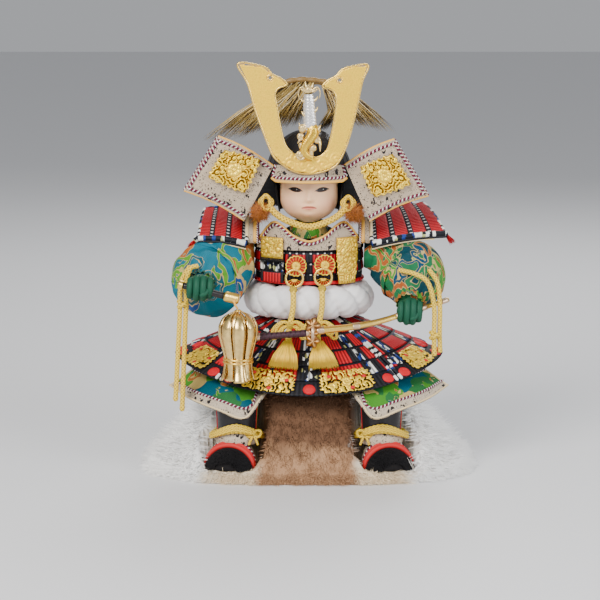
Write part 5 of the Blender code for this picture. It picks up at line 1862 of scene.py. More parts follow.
@dataclass
class ShoulderGuards:
    """Two big laced shoulder guards that slope down to the front, with rolled edges."""

    frame: dict
    rows: int = 5

    def build(self) -> None:
        """Makes both guards."""
        corners = {
            "right": ((-55.7, -36, 200), (-98, -30, 203.8), (-94, 28, 223), (-55.7, 22, 222)),
            "left": ((55.7, -36, 200), (121, -22, 207.5), (104, 28, 228), (55.7, 22, 223)),
        }
        for word, (a, b, c, d) in corners.items():
            sign = -1 if word == "right" else 1
            a, b, c, d = (array(p, float) for p in (a, b, c, d))

            def surface(u: Array, v: Array) -> Array:
                """Between the four corners, crowned by sines; v runs from the back to the front edge."""
                u, v = u[..., None], v[..., None]
                near, far = a + (b - a) * u, d + (c - d) * u
                spot = near + (far - near) * (1 - v)
                crown = 3 * sin(math.pi * clip(v, 0, 1)) + 2 * sin(math.pi * clip(u, 0, 1))
                return spot + array([0, 0, 1.0]) * crown
            def hung(across: Array, down: Array, lift: Array) -> Array:
                """The rows hang outward from the neck, so their laces run along u."""
                return raised(lambda p, q: surface(q, p), (0, -0.3, 1))(across, down, lift)
            wide = float(np.linalg.norm(b - a))
            away = (float((a + b)[0] / 2), 0, 150)
            rows = 3 if word == "right" else 4
            spans = [Span(tuple(range(rows)), 0.0, 1.0, Dye.RED)]
            skin = Skin()
            laced_rows(skin, hung, rows, 26, spans, 62, wide, away, lift=2.3, flare=1.3, cord=0.6,
                       heads=0.32, dots=True, fall=8)
            u, v = mesh_of(12, 16)
            skin.grid(hung(u, v, 0.2)[:, ::-1], dye=Dye.BLACK)
            line = shares(70)
            wave = 1 + 0.22 * abs(sin(line * 20))
            for k, (eu, ev) in enumerate(((0 * line + 1.0, line), (line, 0 * line), (line, 0 * line + 1),
                    (0 * line, line))):
                skin.tube(hung(eu, ev, 2.2), (2.2 if k == 0 else 1.6) * wave, dye=Dye.MOTTLED,
                          guide=(0, 0.2, 1))
            skin.tube(hung(0 * line + 1.03, line, -0.2), 1.3, dye=Dye.BLACK, guide=(0, 0.2, 1))
            skin.tube(hung(0 * line + 1.035, line * 0.85, -2.0), 0.7, kind=1, guide=(0, 0.2, 1))
            end = hung(array([0.9]), array([1.0]), 0.0)[0]
            skin.ball(end + [2.0 * sign, 0, -2.4], (3.4, 3.4, 3.4), Dye.MOTTLED, bend=lambda d,
                      t: 1 + 0.08 * sin(6 * t))
            rng = np.random.default_rng(4)
            flare = rng.normal(0, 1, (160, 3)) * [1.4, 1.6, 1.2]
            root = end + [3.6 * sign, 0, -3.4]
            skin.hairs(root + flare * 0.3, root + [5.5 * sign, -1, -6.5] + flare, None, 0.4,
                       broadcast_to(array(Dye.RED.value), (160, 4)))
            skin.make(f"shoulder_lacing_{word}", [SILK, PALE_PIPING], "lacing", [f"shoulder_guard_{word}"])


# Cords, rosettes and tassels on the breast

@dataclass
class BreastTies:
    """Openwork rosettes with rings, and the knotted cords with bows and tassels that hang from them."""

    frame: dict

    def build(self) -> None:
        """Makes both sides."""
        for x, z, word in ((-11.5, 183.4, "right"), (14.0, 184.3, "left")):
            self.rosette(x, z, word)
            self.cord(x - 2.5, z, word)

    def petals(self, skin: Skin, x: float, z: float, y: float, radius: float, low: float = 0.0,
               high: float = 1.0) -> None:
        """Adds sixteen outlined petals in a ring: the height swells at each rim and is open inside.

        Args:
            skin: what gathers them.
            x: middle across.
            z: middle up.
            y: front of the backing.
            radius: their reach.
            low: share of the turn where they start.
            high: share of the turn where they end.
        """
        turn, reach = meshgrid(linspace(low, high, int(320 * (high - low)) + 1) * TAU,
                               linspace(0.0, 1.0, 22))
        leaf = abs(sin(turn * 8))
        bound = 0.9 + 0.1 * leaf ** 0.6
        share = reach * bound
        rim = exp(-((share - bound + 0.05) / 0.06) ** 2) + exp(-((leaf - 0.0) / 0.25) ** 2) * (share > 0.36)
        core = (share < 0.4) * (0.6 + 0.4 * cos(share * 40) * cos(turn * 12))
        height = clip(maximum(rim, core), 0, 1)
        keep = height > 0.12
        face = keep[:-1, :-1] | keep[1:, 1:]
        points = at(x + radius * share * sin(turn), y - 0.5 - 1.2 * height, z + radius * share * cos(turn))
        # the dye paints shade into the petals' hollows
        skin.grid(points, at(share * 9, turn), painted_relief_shade(height), away=(x, 40, z), keep=face)

    def rosette(self, x: float, z: float, word: str) -> None:
        """A rosette on its backing, the ring below it and the lower petals inside the ring.

        Args:
            x: middle across.
            z: middle up.
            word: which side.
        """
        skin = Skin()
        self.petals(skin, x, z, -45.8, 9.5)
        self.petals(skin, x - 1.5, z - 11.5, -45.3, 7.4, 0.28, 0.72)
        turn, reach = meshgrid(turns(49), shares(6))
        for y, order in ((-45.6, 1), (-43.2, -1)):
            skin.grid(at(x + 8.7 * reach * sin(turn), y + 0 * turn, z + 8.7 * reach * cos(turn)), kind=1,
                      away=(x, -44.4, z))
        skin.grid(at(x + 8.7 * sin(turn[:2]), array([[-45.6], [-43.2]]) + 0 * turn[:2],
                     z + 8.7 * cos(turn[:2])), kind=1, away=(x, -44.4, z))
        skin.make(f"rosette_petals_{word}", [RELIEF, LINING], "pale_gold", [f"rosette_{word}"])
        ring = Skin()
        turn = turns(97)
        ring.tube(at(x - 1.5 + 7.6 * sin(turn), -47.1 + 0 * turn, z - 11 + 7.6 * cos(turn)),
                  1.1 + 0.08 * sin(24 * turn), closed=True, guide=BACK)
        ring.make(f"ring_band_{word}", [GOLD], "pale_gold", [f"ring_{word}"])

    def cord(self, x: float, z: float, word: str) -> None:
        """Cord from the ring: knot, drop, bow of doubled loops, second knot and a flared tassel.

        Args:
            x: middle across.
            z: height of the rosette.
            word: which side.
        """
        out = -55.7
        drop = smooth([(x, -51.7, z - 21.6), (x, out + 1.6, z - 25.6), (x, out, 149.6),
                       (x - 1.5, out - 2, 140), (x - 3.5, out - 4, 130), (x - 4, -65, 122)], 90)
        skin = Skin()
        skin.tube(drop, 2.5, guide=ACROSS, around=16)
        skin.ball((x, -51.9, z - 20.6), (3.6, 2.6, 3.4), bend=lambda d, t: 1 + 0.12 * sin(6 * t + 5 * d))
        for hand in (-1, 1):
            for wide, tall in ((14.5, 8.0), (11.0, 4.5)):
                loop = smooth([(x - 3, out - 5, 133), (x - 3 + wide * 0.45 * hand, out - 6.4, 135.8),
                               (x - 3 + wide * hand, out - 6.6, 132.5 - tall * 0.35),
                               (x - 3 + (wide + 1) * hand, out - 6.6, 130 - tall),
                               (x - 3 + (wide - 3) * hand, out - 5.8, 128.5 - tall * 0.8),
                               (x - 3 + wide * 0.5 * hand, out - 5.2, 130.5), (x - 3, out - 4.5, 131.5)],
                              60)
                skin.tube(loop, 1.45, guide=TILTED)
        skin.ball((x - 3, out - 5, 132), (3.0, 2.8, 3.4), bend=lambda d, t: 1 + 0.12 * sin(6 * t + 5 * d))
        skin.ball((x - 4, -64.8, 121), (3.0, 3.0, 3.4), bend=lambda d, t: 1 + 0.12 * sin(6 * t - 5 * d))
        skin.make(f"breast_tie_{word}", [CORD], "cord", [f"breast_cord_{word}"])
        rng = np.random.default_rng(61 + int(x))
        count = 1500
        lean = -5.0 if word == "right" else 5.5
        around, deep = rng.uniform(0, TAU, count), sqrt(rng.uniform(0, 1, count))
        top = array([x - 4 + lean * 0.2, -66.3, 119.5]) + at(3.4 * deep * cos(around),
                2.2 * deep * sin(around), 0 * deep)
        foot = array([x - 4 + lean, -82.5, 99.0]) + at(13.5 * deep * cos(around), 3.2 * deep * sin(around),
                lean * 0.22 * deep * cos(around) + 1.0 * rng.normal(size=count))
        tassel = Skin()
        tone = varied(rng.uniform(0.7, 1.25, count), (0.98, 0.64, 0.05))
        bend = array([0, -2.2, 0.6]) + at(1.5 * deep * cos(around), 0 * deep, 0 * deep)
        tassel.hairs(top, foot, bend, 0.42, tone)
        tassel.make(f"breast_tassel_{word}", [TASSEL], "cord", weld=False)


# Sleeves, hands and what they hold

@dataclass
class Sleeves:
    """Stuffed brocade sleeves, gathered cuffs, gloved hands with fingers."""

    frame: dict

    def build(self) -> None:
        """Makes both arms."""
        arms = (
            ("right", ((-49.4, -8, 190), (-60, -9, 189.5), (-74, -18, 180), (-86, -27, 172),
                       (-91, -38, 169), (-93, -50, 169.5),
                       (-94, -61, 170), (-94.8, -70.5, 169.7)), (13, 22, 29, 33, 33, 28, 18,
                               11), BLUE, (-95, -80.2, 169.5), (13, 12, 12)),
            ("left", ((49.4, -8, 189), (61, -8.5, 188.5), (77, -13, 181), (89, -20, 175), (93, -29, 169),
                      (93, -39, 162),
                      (91.2, -48, 155.5), (89.8, -54.7, 151.3)), (12, 19, 26, 30, 30, 25, 17,
                              9.6), GREEN, (88.5, -64, 146), (12, 10.5, 12.5)),
        )
        for word, knots, radii, finish, hand, size in arms:
            path = smooth(knots, 90)
            steps = np.r_[0.0, np.cumsum(np.linalg.norm(np.diff(array(knots, float), axis=0), axis=1))]
            radius = interp(linspace(0, steps[-1], 90), steps, radii)
            around = 72
            turn = turns(around + 1)
            run = shares(90)[:, None]
            gather = clip((run - 0.62) / 0.38, 0, 1)
            fold = 0.06 * gather * sin(13 * turn + 5 * run) + 0.035 * abs(sin(4 * turn + run * 11
                    + sin(run * 9))) ** 2 * (1 - gather)
            fold = fold + 0.03 * bump_noise(turn * 2 + 0 * run, run * 9, 4.0)
            sag = 0.022 * sin(run * 24 + 2.4 * sin(turn * 2))
            skin = Skin()
            skin.grid(sweep(path, radius, around, (0, 0.1, 1), shape=0.975 + fold + sag * (1 - gather)),
                      ends=True)
            cuff = smooth([path[-14], path[-7], path[-1], path[-1] + (path[-1] - path[-4]) * 0.9], 26)
            pleat = 0.07 * sin(17 * turn)
            flare = interp(shares(26), (0, 0.5, 1), (14.5, 12.8, 12.4))[:, None]
            skin.grid(sweep(cuff, 1.0, around, (0, 0.1, 1), shape=flare * (1 + pleat)), kind=1)
            piece = skin.make(f"sleeve_cloth_{word}", [finish, GLOVE if word == "right" else COLLAR],
                              "brocade", [f"sleeve_{word}"])
            self.hand(word, array(hand, float), array(size, float))

    def hand(self, word: str, centre: Array, size: Array) -> None:
        """A gloved fist: a rounded palm with four fingers bent round what it holds, and a thumb.

        Args:
            word: which hand.
            centre: middle of the fist.
            size: half its size.
        """
        skin = Skin()
        skin.ball(centre, size * 0.97, around=32, tall=18, bend=lambda d,
                  t: 1 - 0.03 * abs(sin(4 * d)) ** 4)
        for k in range(4):
            shift = size[0] * (-0.66 + 0.44 * k)
            wide = math.sqrt(max(0.05, 1 - (shift / size[0]) ** 2))
            turn = linspace(1.75, 4.6, 34)
            path = at(centre[0] + shift + 0.5 * sin(turn),
                      centre[1] + size[1] * wide * 0.88 * cos(turn) - 0.6,
                      centre[2] + size[2] * wide * 0.86 * sin(turn))
            skin.tube(path, 3.0 * clip(sin(linspace(0.35, math.pi - 0.25, 34)) * 1.7, 0.4, 1), guide=ACROSS,
                      around=16)
        thumb = smooth([centre + size * [0.75, -0.3, 0.3], centre + size * [0.4, -0.85, -0.25],
                        centre + size * [0.0, -1.0, -0.5]], 20)
        skin.tube(thumb, 2.7 * clip(sin(linspace(0.5, math.pi - 0.3, 20)) * 1.5, 0.4, 1), guide=UP,
                  around=14)
        skin.make(f"glove_{word}", [GLOVE], "glove", [f"hand_{word}"])


@dataclass
class Sword:
    """Sword worn at the waist: wrapped hilt, blossom guard and gilt scabbard."""

    frame: dict

    def build(self) -> None:
        """Makes the sword."""
        skin = Skin()
        path = smooth([(-45.2, -79.3, 125.5), (-43, -79.2, 125.6), (-25, -79, 127), (-3, -78.2, 128.6),
                       (1.2, -78, 129)], 70)
        run = shares(70)
        radius = interp(run, (0, 0.05, 0.45, 0.92, 1), (3.4, 4, 3.5, 3.9, 4.3))
        turn = turns(25)
        ridge = 1 + 0.07 * abs(sin(run[:, None] * 26 + turn))
        skin.grid(sweep(path, radius, 24, UP, 0.8, ridge), ends=True)
        for spot, wide in ((0.02, 4.4), (0.97, 4.6)):
            near = path[int(spot * 69)]
            skin.tube(smooth([near - [1.6, 0, 0], near, near + [1.6, 0, 0]], 8), wide, kind=1, flat=0.82)
        skin.make("hilt_grip", [WRAP, COPPER], "wrap", ["sword_hilt"])
        guard = Skin()
        for z, size in ((136.2, 5.6), (122.4, 5.2), (129.2, 4.4)):
            guard.ball((3.0, -78.6, z), (2.6, size, size), painted_relief_shade(np.full((9, 15), 0.9)), around=14)
            petal, reach = meshgrid(turns(61), shares(8))
            wave = 1 + 0.16 * cos(5 * petal)
            height = sin(math.pi * clip(reach, 0, 1)) * (0.5
                    + 0.5 * cos(5 * petal)) + exp(-(reach / 0.25) ** 2)
            # the dye paints shade into the petals' hollows
            guard.grid(at(3.0 + size * 1.15 * wave * reach * cos(petal),
                          -83.2 - 1.6 * clip(height, 0, 1) + 2.0 * reach ** 2,
                          z + size * 1.15 * wave * reach * sin(petal)), dye=painted_relief_shade(clip(height, 0, 1)),
                       away=(3, -60, z))
        turn, t = meshgrid(turns(41), shares(6))
        for x0 in (1.6, 4.4):
            guard.grid(at(x0 + 0 * turn, -78 + 8.4 * t * cos(turn), 129.2 + 8.4 * t * sin(turn)),
                       dye=Dye.WHITE, away=(3.0, -78, 129.2))
        guard.grid(at(array([[1.6], [4.4]]) + 0 * turn[:2], -78 + 8.4 * cos(turn[:2]),
                      129.2 + 8.4 * sin(turn[:2])), away=(3.0, -78, 129.2))
        guard.make("guard_blossoms", [COPPER], "gold", ["sword_guard"])
        case = Skin()
        path = smooth([(4.9, -77.8, 130), (9, -77.5, 131), (35, -76, 133.5), (62, -71, 138),
                       (88, -63.5, 145), (108, -56.5, 150), (123, -50, 154)], 120)
        run = shares(120)
        case.grid(sweep(path, interp(run, (0, 1), (4.2, 2.6)), 24, UP, 0.75), ends=True)
        for spot in (0.05, 0.3, 0.62, 0.8, 0.97):
            k = int(spot * 119)
            case.tube(path[max(0, k - 3):k + 4], 4.6 - 1.6 * spot, kind=1, flat=0.8, guide=UP)
        case.make("scabbard_gilding", [GOLD, COPPER], "gold", ["scabbard"])


@dataclass
class Baton:
    """Command baton with its hanging bundle of foil strips."""

    frame: dict
    rings: tuple = ((155.5, 1.2), (150.5, 1.4), (149.5, 7), (145, 13), (138, 16.4), (130, 16.6),
                    (118, 13.6), (109.5, 11.6), (103, 11.8), (97, 12.4), (90, 14.2))

    def build(self) -> None:
        """Makes the baton and its strips."""
        start, end = array([-114, -82, 172.5]), array([-61, -91, 160.5])
        share = array([0, .02, .06, .08, .085, .3, .76, .765, .79, .98, 1])
        radius = interp(share, (0, .02, .08, .085, .76, .77, .98, 1), (3.2, 4, 4, 2.9, 2.9, 4.6, 4.6, 3.6))
        skin = Skin()
        for low, high, kind in ((0, 3, 0), (4, 6, 1), (7, 10, 0)):
            spots = start + (end - start) * linspace(share[low], share[high], 24)[:, None]
            reach = interp(linspace(share[low], share[high], 24), share, radius)
            skin.tube(spots, reach, kind=kind, around=24)
        skin.tube(smooth([end + [-4, -3, -1], end + [-3.2, -4.6, -4], (-62.2, -93.6, 153)], 20), 0.9,
                  kind=2, guide=ACROSS)
        skin.ball(end + array([-4, -4.2, -1]), (1.6, 1.2, 1.6), kind=2)
        skin.make("baton_staff", [GOLD, LACQUER, PIPING], "gold", ["baton"])
        foil = Skin()
        z = linspace(152, 90, 31)
        rings = array(self.rings)
        reach = interp(-z, -rings[:, 0], rings[:, 1])
        for shift, scale in ((0.12, 1.0), (0.62, 0.8)):
            for k in range(8):
                middle = (k + shift) * TAU / 8
                half = 0.315 * clip((152 - z) / 10, 0.25, 1)
                angle = middle + half[:, None] * linspace(-1, 1, 6)[None]
                bow = 1 + 0.05 * cos(linspace(-1, 1, 6) * 1.5)[None]
                spread = where(z < 108, 1 + 0.012 * (108 - z) * math.sin(k * 2.3), 1.0)[:, None]
                out = reach[:, None] * scale * bow * spread
                foil.grid(at(-61.8 + out * cos(angle), -92 + out * sin(angle), z[:, None] + 0 * angle),
                          at(angle * 9, z[:, None]), away=(-61.8, -92, 120))
        turn = turns(49)
        for zz, rr in ((108.6, 12.4), (105.8, 12.5), (150.6, 2.0)):
            foil.tube(at(-61.8 + rr * cos(turn), -92 + rr * sin(turn), zz + 0 * turn), 1.0, kind=1,
                      closed=True)
        foil.make("baton_foil", [FOIL, GOLD], "pale_gold", ["baton_strips"], wall=0.35)


# Head and helmet

@dataclass
class Head:
    """Painted head with hair at the sides."""

    frame: dict
    middle: tuple = (0, -20, 247)
    rings: tuple = ((220.4, .22), (222, .42), (224.3, .6), (227, .75), (231, .88), (236, .97), (242, 1),
                    (252, .99), (262, .95), (272, .8), (279, .55), (282, .2))
    mounds: tuple = ((0, 247, 2.2, 6, 1.6), (0, 242.6, 2.9, 2.6, 2.6), (-2.7, 241.9, 1.5, 1.5, 0.9),
                     (2.7, 241.9, 1.5, 1.5, 0.9), (0, 236.6, 5.2, 1.2, 0.9), (0, 233.8, 4, 1.4, 1.1),
                     (0, 235.4, 6.5, 0.5, -0.5), (0, 227.5, 6, 3, 1.6), (-15, 240, 7, 6, 1),
                     (15, 240, 7, 6, 1), (-12, 252, 6, 2.6, -0.9), (11.4, 252, 6, 2.6, -0.9),
                     (-12, 250.7, 4.6, 1.7, 0.45), (11.4, 250.7, 4.6, 1.7, 0.45), (-12, 256, 7, 2, 0.5),
                     (12, 256, 7, 2, 0.5))

    def build(self) -> None:
        """Makes the face, its mounds (across, up, half sizes, height) and the hair."""
        z = np.r_[220.2, linspace(220.8, 281, 92)]
        share = interp(z, *array(self.rings).T)
        share = np.convolve(np.pad(share, 3, "edge"), ones(7) / 7, "valid")
        turn = turns(145)
        angle, high = meshgrid(turn, z)
        wide = 26 * share[:, None] * cos(angle)
        deep = -20 + 28 * interp(high, (222, 230), (0.9, 1)) * (0.12 + 0.88 * share[:, None]) * sin(angle)
        front = clip(-sin(angle), 0, 1)

        out = 0.0
        for x, tall, half, rise, gain in self.mounds:
            spot = exp(-((wide - x) / half) ** 2 - ((high - tall) / rise) ** 2)
            out = out + gain * spot * (sin(angle) < 0)
        skin = Skin()
        skin.grid(at(wide, deep - out * front, high), ends=True)
        skin.make("painted_head", [SKIN], "skin", ["head"])
        self.hair()
        dress(self.frame, COLLAR, "collar")
        dress(self.frame, DARK, "body_core")
        dress(self.frame, TIMBER, "seat_block")

    def hair(self) -> None:
        """Hair from behind the face to the nape: strands combed down over a dark under layer."""
        def surface(u: Array, v: Array) -> Array:
            """Oval round the head, u from one cheek round the back to the other."""
            z = 262.6 - 31.6 * v
            reach = interp(-z, (-262.6, -250, -240, -231), (1.19, 1.03, 1.02, 0.96))
            angle = radians(-106 + 212 * u)
            return at(26 * reach * sin(angle), -20 + 28 * reach * cos(angle), z)
        u, v = mesh_of(200, 14)
        comb = 0.35 * abs(sin(u * 190)) + 0.3 * bump_noise(u * 60, v * 3, 2.0)
        skin = Skin()
        skin.grid(surface(u, v) + unit(surface(u, v) - array([0, -20, 250])) * (1.9 + comb)[..., None],
                  at(u * 40, v), (0.012, 0.01, 0.01, 1), away=self.middle)
        rng = np.random.default_rng(8)
        count = 2600
        pick = rng.uniform(0, 1, count)
        from_top = surface(pick, rng.uniform(0.0, 0.2, count))
        to_foot = surface(pick + rng.normal(0, 0.01, count), rng.uniform(0.8, 1.06, count))
        middle = array(self.middle)
        tone = varied(rng.uniform(0.6, 1.8, count), (0.012, 0.01, 0.009))
        skin.hairs(from_top + unit(from_top - middle) * 2.0, to_foot + unit(to_foot - middle) * 2.3, None,
                   0.34, tone)
        skin.make("combed_hair", [HAIR], "hair", ["hair"], weld=False)


@dataclass
class Helmet:
    """Helmet bowl, visor, laced neck guard, turned back wings, crests and chin cord."""

    frame: dict
    behind: tuple = (0, 60, 260)

    def build(self) -> None:
        """Makes the helmet."""
        self.bowl()
        self.visor()
        self.neck_guard()
        for word, sheet, plate in (
                ("right", ((-80, 298), (-31.4, 271.7), (-57, 224), (-110, 250.5)),
                 ((-74.3, 285), (-42.5, 276.9), (-56.4, 247), (-89, 261.4))),
                ("left", ((75, 295.5), (31.4, 272.6), (53, 223.5), (105, 246)),
                 ((73.2, 281.7), (44.5, 270.3), (57.2, 243.5), (89.7, 255)))):
            self.wing(word, sheet, plate)
        self.horn()
        self.dragon()
        self.plume()
        self.chin()

    def bowl(self) -> None:
        """Ribbed bowl: ovals shrinking to the crown, ridged by a power of a cosine."""
        turn, lat = meshgrid(turns(241), radians(np.r_[linspace(0, 86, 18), 90.0]))
        rib = 0.9 * abs(cos(turn * 12)) ** 14 * cos(lat) ** 0.6
        x = (37 + rib) * cos(lat) * cos(turn)
        y = -16 + (39 + rib) * cos(lat) * sin(turn)
        skin = Skin()
        skin.grid(at(x, y, 263 + (39 + rib * 0.4) * sin(lat)), away=(0, -16, 263))
        skin.make("ribbed_bowl", [PLATE], "lacquer", ["helmet_bowl"])

    def brim(self, turn: Array, z: Array, reach: Array) -> Array:
        """Point round the helmet at a turn in degrees from the front."""
        angle = radians(turn)
        return at(reach * sin(angle), -16 - (reach + 2) * cos(angle), z)

    def visor(self) -> None:
        """Leather visor between the temples, edged with braid and piping."""
        def surface(u: Array, v: Array) -> Array:
            """Visor by shares."""
            z = 273 - 13.5 * v
            reach = interp(-z, (-273, -266, -259.5), (36.5, 39.6, 43.2)) + 1.8
            spread = 52 * (2 * u - 1)
            return self.brim(spread * (1 - 0.1 * v ** 2),
                             z + 2.4 * clip(abs(spread) / 52 - 0.86, 0, 1) * 7 * v, reach)
        u, v = mesh_of(60, 12)
        skin = Skin()
        away = (0, -16, 262)
        skin.grid(surface(u, v), at(u * 70, v * 14), away=away)
        line = shares(90)
        for drop, lift, radius, kind in ((0.78, 0.6, 1.25, 1), (1.0, 0.3, 1.2, 2)):
            skin.tube(surface(line, 0 * line + drop) - [0, lift, 0], radius, kind=kind, guide=UP,
                      plies=PLY * (kind == 1))
        for end in (0.02, 0.98):
            skin.tube(surface(0 * line + end, line * 0.8) - [0, 0.6, 0], 1.2, kind=1, guide=BACK, plies=PLY)
        skin.make("visor_leather", [LEATHER, EDGING, PIPING], "leather", ["visor"], wall=1.6)

    def neck_guard(self) -> None:
        """Four laced rows from temple to temple round the back, widening downward."""
        def place(u: Array, v: Array, lift: Array) -> Array:
            """Neck guard by shares."""
            v = v
            return self.brim(72 + 216 * u, 268 - 40 * v, 36.8 + 22.8 * v + lift)
        rows = tuple(range(4))
        skin = Skin()
        laced_rows(skin, place, 4, 110, [Span(rows, 0.02, 0.98, Dye.RED)], 190, 46, (0, -16, 250), lift=2.0,
                   flare=1.6, cord=0.8, heads=0.28, fine=3)
        u, v = mesh_of(60, 16)
        skin.grid(place(u, v, 0.2), dye=Dye.BLACK, away=(0, -16, 250))
        line = shares(90)
        for k, (eu, ev) in enumerate(((line, 0 * line + 1.0), (0 * line, line), (0 * line + 1, line))):
            skin.tube(place(eu, ev, 2.6), 1.6, dye=Dye.MOTTLED, guide=UP if k == 0 else (1, 0, 0))
        skin.make("neck_guard_lacing", [SILK], "lacing", ["neck_guard"])

    def wing(self, word: str, sheet: Sequence, plate: Sequence) -> None:
        """A turned back wing: printed leather framed with braid and piping, a cast ornament in its middle.

        Args:
            word: which side.
            sheet: corners of the leather.
            plate: corners of the ornament.
        """
        a, b, c, d = (array(p, float) for p in sheet)

        def surface(u: Array, v: Array) -> Array:
            """Between the four corners, bulged to the viewer."""
            spot = between((a, b, c, d), u, v)
            bulge = 5 * sin(math.pi * clip(u, 0, 1)) * sin(math.pi * clip(v, 0, 1))
            return at(spot[..., 0], -42 - bulge, spot[..., 1] + 2.6 * sin(math.pi * clip(u, 0, 1)))
        u, v = mesh_of(34, 34)
        skin = Skin()
        ripple = 0.25 * bump_noise(u * 12, v * 12, 2.0)
        skin.grid(surface(u, v) - (3.5 + ripple)[..., None] * [0, 1, 0], at(u * 58, v * 56),
                  away=self.behind)
        skin.grid(surface(u, v) - [0, 0.4, 0], away=(0, -200, 260))
        for row in ((0, slice(None)), (-1, slice(None)), (slice(None), 0), (slice(None), -1)):
            edge = surface(u, v)[row]
            skin.grid(stack([edge - [0, 3.5, 0], edge - [0, 0.4, 0]]),
                      away=(float(a[0] + c[0]) / 2, -42, 260))
        line = shares(80)
        one = 0 * line
        for eu, ev in ((line * 0.95 + 0.03, one + 0.055), (one + 0.04, line * 0.92 + 0.04),
                       (line * 0.95 + 0.03, one + 0.945)):
            skin.tube(surface(eu, ev) - [0, 4.0, 0], 1.25, kind=1, guide=BACK, plies=PLY)
        for eu, ev in ((line, one), (line, one + 1)):
            skin.tube(surface(eu, ev) - [0, 2.4, 0], 1.15, kind=2, guide=BACK)
        skin.tube(surface(one, line) - [0, 2.2, 0], 1.0, kind=1, guide=BACK, plies=PLY)
        skin.make(f"wing_leather_{word}", [LEATHER, EDGING, PIPING], "leather", [f"wing_{word}"])
        corners = array(plate, float)
        e, f, g, h = corners.mean(axis=0) + (corners - corners.mean(axis=0)) * 1.13 + [0, 1.6]

        def front(u: Array, v: Array, lift: Array) -> Array:
            """Ornament surface by shares."""
            spot = between((e, f, g, h), u, v)
            return at(spot[..., 0], -51.6 - lift, spot[..., 1])
        metal = Skin()
        ornament(metal, front, 38, 32, 0.46, 0.0, 2.0, 77, 6.6, 0.02, (float(a[0]), 60, 260), pitch=2.5)
        u, v = mesh_of(2, 2)
        # painted shade: the plate behind the openwork is dyed towards the deep tone
        metal.grid(front(0.06 + u * 0.88, 0.06 + v * 0.88, -0.8 + 0 * u), dye=(0.35, 0.35, 1, 1),
                   away=self.behind)
        metal.make(f"wing_casting_{word}", [RELIEF, PLATE], "pale_gold", [f"wing_ornament_{word}"],
                   wall=0.8)

    def horn(self) -> None:
        """Flat gilt horns: the outline filled, and a raised rim round it."""
        outline = ((-61.9, 363), (-53.5, 345.7), (-47, 323), (-38.1, 298.5), (-31.6, 283.1), (-23.7, 275.3),
                   (-12.4, 268.7), (1.6, 266.9), (17.4, 270.8), (25.2, 276.6), (32.2, 290.6), (37.4, 307.7),
                   (42.6, 330), (46.3, 347.7), (51.1, 361.5), (36.4, 360.4), (28.5, 357.8), (23.1, 352.2),
                   (15.2, 347.7), (11.4, 342.7), (17.3, 341.3), (22, 337.8), (23.6, 330), (21.5, 312.5),
                   (18.2, 296.8), (15.3, 287.6), (8.6, 281.9), (.3, 281.4), (-10.6, 283.1), (-15.9, 286.3),
                   (-21.5, 294.1), (-25.9, 312.5), (-28.1, 326.5), (-29.8, 335.6), (-27.2, 341.3),
                   (-19.3, 344.8), (-23.7, 349.4), (-32.4, 353.8), (-33.6, 355.5), (-40.2, 360.4))
        x, z = meshgrid(arange(-64, 53.4, 0.9), arange(265, 364.6, 0.9))
        hit = inside(x, z, outline) & (hypot(x + 34, z - 350.8) > 2.2) & (hypot(x - 26.3, z - 348.7) > 2.2)
        keep = hit[:-1, :-1] & hit[1:, 1:] & hit[:-1, 1:] & hit[1:, :-1]
        stamp = clip((288 - z) / 8, 0, 1)
        curl, _ = swirls(x, z, at(linspace(-34, 30, 12), 276 + 5 * sin(arange(12) * 2.0)), 3.4)
        skin = Skin()
        # the dye paints shade into the stamped grooves between the curls
        skin.grid(at(x, -62.0 - 0.9 * stamp * curl, z), at(x, z), painted_relief_shade(1 - 0.55 * stamp * (1 - curl)),
                  away=(0, 0, 300), keep=keep)
        rim = smooth(outline, 420, closed=True)
        skin.tube(at(rim[:, 0], -61.4 + 0 * rim[:, 0], rim[:, 1]), 0.75, kind=1, guide=BACK, around=8,
                  closed=True)
        for cx, cz in ((-34, 350.8), (26.3, 348.7)):
            turn = turns(33)
            skin.tube(at(cx + 2.3 * cos(turn), -61.6 + 0 * turn, cz + 2.3 * sin(turn)), 0.6, kind=1,
                      guide=BACK, around=8, closed=True)
        skin.make("horn_plate", [HORN, GOLD], "gold", ["horn_crest"], wall=1.6)

    def dragon(self) -> None:
        """Winding dragon before the horns: a scaled body along a wave, with mane, claws and whiskers."""
        column = smooth([(0.9, -64.8, 306), (0.8, -65.4, 312), (0.2, -66.2, 323), (-0.4, -66.8, 337)], 110)
        run = shares(110)[:, None]
        turn = turns(25)
        facet = 1 + 0.16 * abs(sin(run * 34 + 2 * sin(3 * turn))) * abs(cos(2.5 * turn))
        silver = painted_relief_shade(clip(facet[:-1, :-1] * 4 - 3.6, 0, 1)) * [1, 1, 0, 1]
        skin = Skin()
        skin.grid(sweep(column, interp(run[:, 0], (0, .2, .8, 1), (4.8, 5.4, 4.6, 3.6)), 24, BACK, 0.8,
                        facet), dye=silver)
        tail = smooth([(0.5, -65.5, 309), (3.5, -67, 304), (0.5, -67.5, 298), (-3.6, -67.2, 292),
                       (-4.5, -66.6, 287), (-1.5, -66, 283), (2.5, -65.4, 281)], 120)
        run = shares(120)[:, None]
        scale = 1 + 0.14 * abs(sin(run * 60 + 3 * turn)) * abs(cos(3 * turn))
        # the dye paints shade between the tail's raised scales
        skin.grid(sweep(tail, interp(run[:, 0], (0, .1, .6, 1), (4.4, 5.0, 3.6, 2.4)), 24, BACK, 0.8,
                        scale), dye=painted_relief_shade(clip(scale[:-1, :-1] * 4 - 3.7, 0, 1)))
        skin.tube(smooth([(1, -64.8, 300), (1.5, -64.6, 290), (1.5, -64.4, 282)], 20), 2.3, guide=BACK)
        rng = np.random.default_rng(12)
        for x, z, size in ((-5.5, 307, 3.6), (6.5, 306, 3.4), (-7.5, 300, 3.0), (7.0, 297, 3.0),
                           (-6.0, 292, 3.2), (-7.2, 284.5, 3.2), (2, 303, 4.0), (3.5, 290, 2.8),
                           (-0.6, 340, 3.6)):
